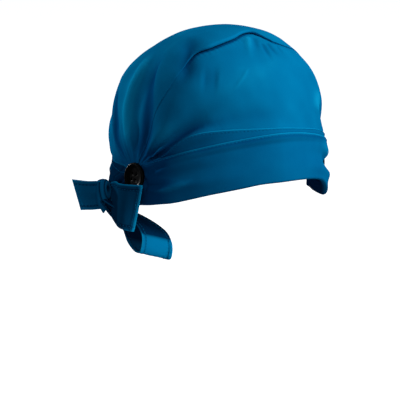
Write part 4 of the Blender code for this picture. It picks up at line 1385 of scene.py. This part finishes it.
def cloth_material(name, blues, sheen):
    """Closely woven cloth with a soft satin sheen, with painted shade in folds and painted highlights.
    """
    material, tree, shader = new_material(name, {
        "Roughness": 0.62, "Specular IOR Level": 0.0, "Sheen Weight": sheen,
        "Sheen Roughness": 0.4, "Sheen Tint": SHEEN_BLUE,
    })
    coordinates = add_node(tree, "UVMap", {}, uv_map="cloth")
    scale = 1.0 / (WEAVE_PITCH * 20.0) * math.pi * 2.0
    waves = {"Vector": coordinates, "Scale": scale, "Distortion": 0.6, "Detail": 1.0}
    across, along = (
        add_node(tree, "TexWave", waves, "Fac", wave_type="BANDS", bands_direction=direction)
        for direction in ("X", "Y")
    )
    weave = add_node(tree, "Math", {0: across, 1: along}, operation="MAXIMUM")
    mottle = object_noise(tree, 38.0, 5.0)
    slub = object_noise(tree, 900.0, 2.0)
    # The shade attribute picks deeper blue for painted shade and lighter blue for painted highlights
    shade = add_node(tree, "Attribute", {}, "Fac", attribute_name="shade")
    spread = add_node(tree, "MapRange", {"Value": shade, "From Min": -0.003, "From Max": 0.002})
    blend = add_node(tree, "Math", {0: mottle, 1: 0.30, 2: spread}, operation="MULTIPLY_ADD")
    plug(tree, shader, {
        "Base Color": add_ramp(tree, blend, zip((0.2, 0.78, 1.0), blues)),
        "Normal": add_bump(tree, slub, 0.25, 0.00010, add_bump(tree, weave, 0.35, 0.00008)),
    })
    return material


def plastic_material():
    """Polished black resin with faint handling marks."""
    material, tree, shader = new_material("black_resin", {
        "Coat Weight": 0.03, "Coat Roughness": 0.10, "Specular IOR Level": 0.05,
    })
    marks = object_noise(tree, 420.0, 4.0)
    plug(tree, shader, {
        "Base Color": add_ramp(tree, marks, zip((0.0, 1.0), RESIN_BLACKS)),
        "Roughness": add_node(tree, "MapRange", {"Value": marks, "To Min": 0.24, "To Max": 0.40}),
        "Normal": add_bump(tree, marks, 0.08, 0.0001),
    })
    return material


def thread_material(name, colour):
    """Twisted sewing thread."""
    material, tree, shader = new_material(name, {"Roughness": 0.55, "Specular IOR Level": 0.0})
    dark = [0.6 * value for value in colour[:3]] + [1.0]
    twist = object_noise(tree, 1800.0, 2.0)
    plug(tree, shader, {"Base Color": add_ramp(tree, twist, ((0.0, dark), (1.0, colour)))})
    return material


def stage_material(name, colour, glow):
    """Pale stage material that is a little lit from within."""
    return new_material(name, {
        "Base Color": colour, "Roughness": 1.0, "Specular IOR Level": 0.0,
        "Emission Color": WHITE, "Emission Strength": glow,
    })[0]


def camera_axes():
    """Columns of a matrix: right of, above and in front of the cap as the camera sees it."""
    azimuth = math.radians(CAMERA_AZIMUTH)
    elevation = math.radians(CAMERA_ELEVATION)
    back = Vector((
        math.sin(azimuth) * math.cos(elevation),
        -math.cos(azimuth) * math.cos(elevation),
        math.sin(elevation),
    ))
    right = Vector((0.0, 0.0, 1.0)).cross(back).normalized()
    return Matrix((right, back.cross(right), back)).transposed()


def place_camera():
    """Camera at the photograph's viewing angle."""
    axes = camera_axes()
    data = bpy.data.cameras.new("camera")
    data.lens = CAMERA_LENS
    data.clip_end = 50.0
    camera = bpy.data.objects.new("camera", data)
    bpy.context.scene.collection.objects.link(camera)
    camera.location = axes @ Vector((AIM_RIGHT, AIM_UP, CAMERA_DISTANCE))
    camera.rotation_euler = axes.col[2].to_track_quat("Z", "Y").to_euler()
    bpy.context.scene.camera = camera


def place_light(name, place, aim, size, energy, spread=180.0):
    """Soft area light, from its place towards what it lights."""
    axes = camera_axes()
    data = bpy.data.lights.new(name, "AREA")
    data.shape = "DISK"
    data.size = size
    data.energy = energy
    data.spread = math.radians(spread)
    light = bpy.data.objects.new(name, data)
    bpy.context.scene.collection.objects.link(light)
    light.location = axes @ Vector(place)
    facing = axes @ (Vector(place) - Vector(aim))
    light.rotation_euler = facing.to_track_quat("Z", "Y").to_euler()
    light.visible_camera = False


def build_stage():
    """White floor and sweep that only the camera sees, so the room alone lights the cap."""
    bpy.ops.mesh.primitive_cylinder_add(
        vertices=128, radius=FLOOR_RADIUS, depth=FLOOR_THICKNESS, location=(0.0, 0.0, -FLOOR_DEPTH)
    )
    floor = bpy.context.object
    bpy.ops.mesh.primitive_uv_sphere_add(segments=64, ring_count=32, radius=FLOOR_RADIUS)
    sweep = bpy.context.object
    for thing, name, colour, glow in (
        (floor, "floor", FLOOR_WHITE, FLOOR_GLOW), (sweep, "sweep", BLACK, 1.0),
    ):
        thing.name = name
        thing.data.materials.append(stage_material(name + "_white", colour, glow))
        thing.visible_diffuse = False
        thing.visible_glossy = False
        thing.visible_transmission = False
        thing.visible_shadow = False


def build_room():
    """Soft room light, brighter from the side of the window, and the lamps."""
    world = bpy.data.worlds.new("room")
    bpy.context.scene.world = world
    world.use_nodes = True
    tree = world.node_tree
    window = (camera_axes() @ Vector(WINDOW)).normalized()
    place = add_node(tree, "TexCoord", {}, "Generated")
    facing = add_node(tree, "VectorMath", {0: place, 1: window}, "Value", operation="DOT_PRODUCT")
    bright = add_node(tree, "MapRange", {
        "Value": facing, "From Min": -0.5, "From Max": 1.0, "To Min": ROOM_DIM, "To Max": ROOM_BRIGHT,
    }, interpolation_type="SMOOTHSTEP")
    tint = add_ramp(tree, bright, ((0.0, ROOM_SHADE), (0.6, WHITE)))
    plug(tree, tree.nodes["Background"], {"Strength": bright, "Color": tint})
    for lamp in LAMPS:
        place_light(**lamp)
    bpy.context.scene.view_settings.view_transform = "Standard"


def build_cap():
    """All the pieces of the cap."""
    cloth = cloth_material("cap_cotton", CAP_BLUES, CAP_SHEEN)
    ribbon = cloth_material("ribbon_cotton", RIBBON_BLUES, RIBBON_SHEEN)
    plastic = plastic_material()
    thread = thread_material("blue_thread", THREAD_BLUE)
    black_thread = thread_material("black_thread", THREAD_BLACK)
    build_panel(cloth)
    build_bag(cloth)
    build_casing(cloth, thread)
    build_band(cloth, thread)
    build_ribbon(ribbon, thread)
    build_knot(ribbon)
    build_tails(ribbon, thread)
    build_loop(ribbon, thread)
    build_button("resin_button_right", -BUTTON_STATION, plastic, black_thread)
    build_button("resin_button_left", BUTTON_STATION, plastic, black_thread)


def declare_pieces():
    """Hide the parts of the model that the pieces stand for."""
    for name, node in STANDS_FOR.items():
        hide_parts(node)


place_camera()
build_stage()
build_room()
build_cap()
declare_pieces()
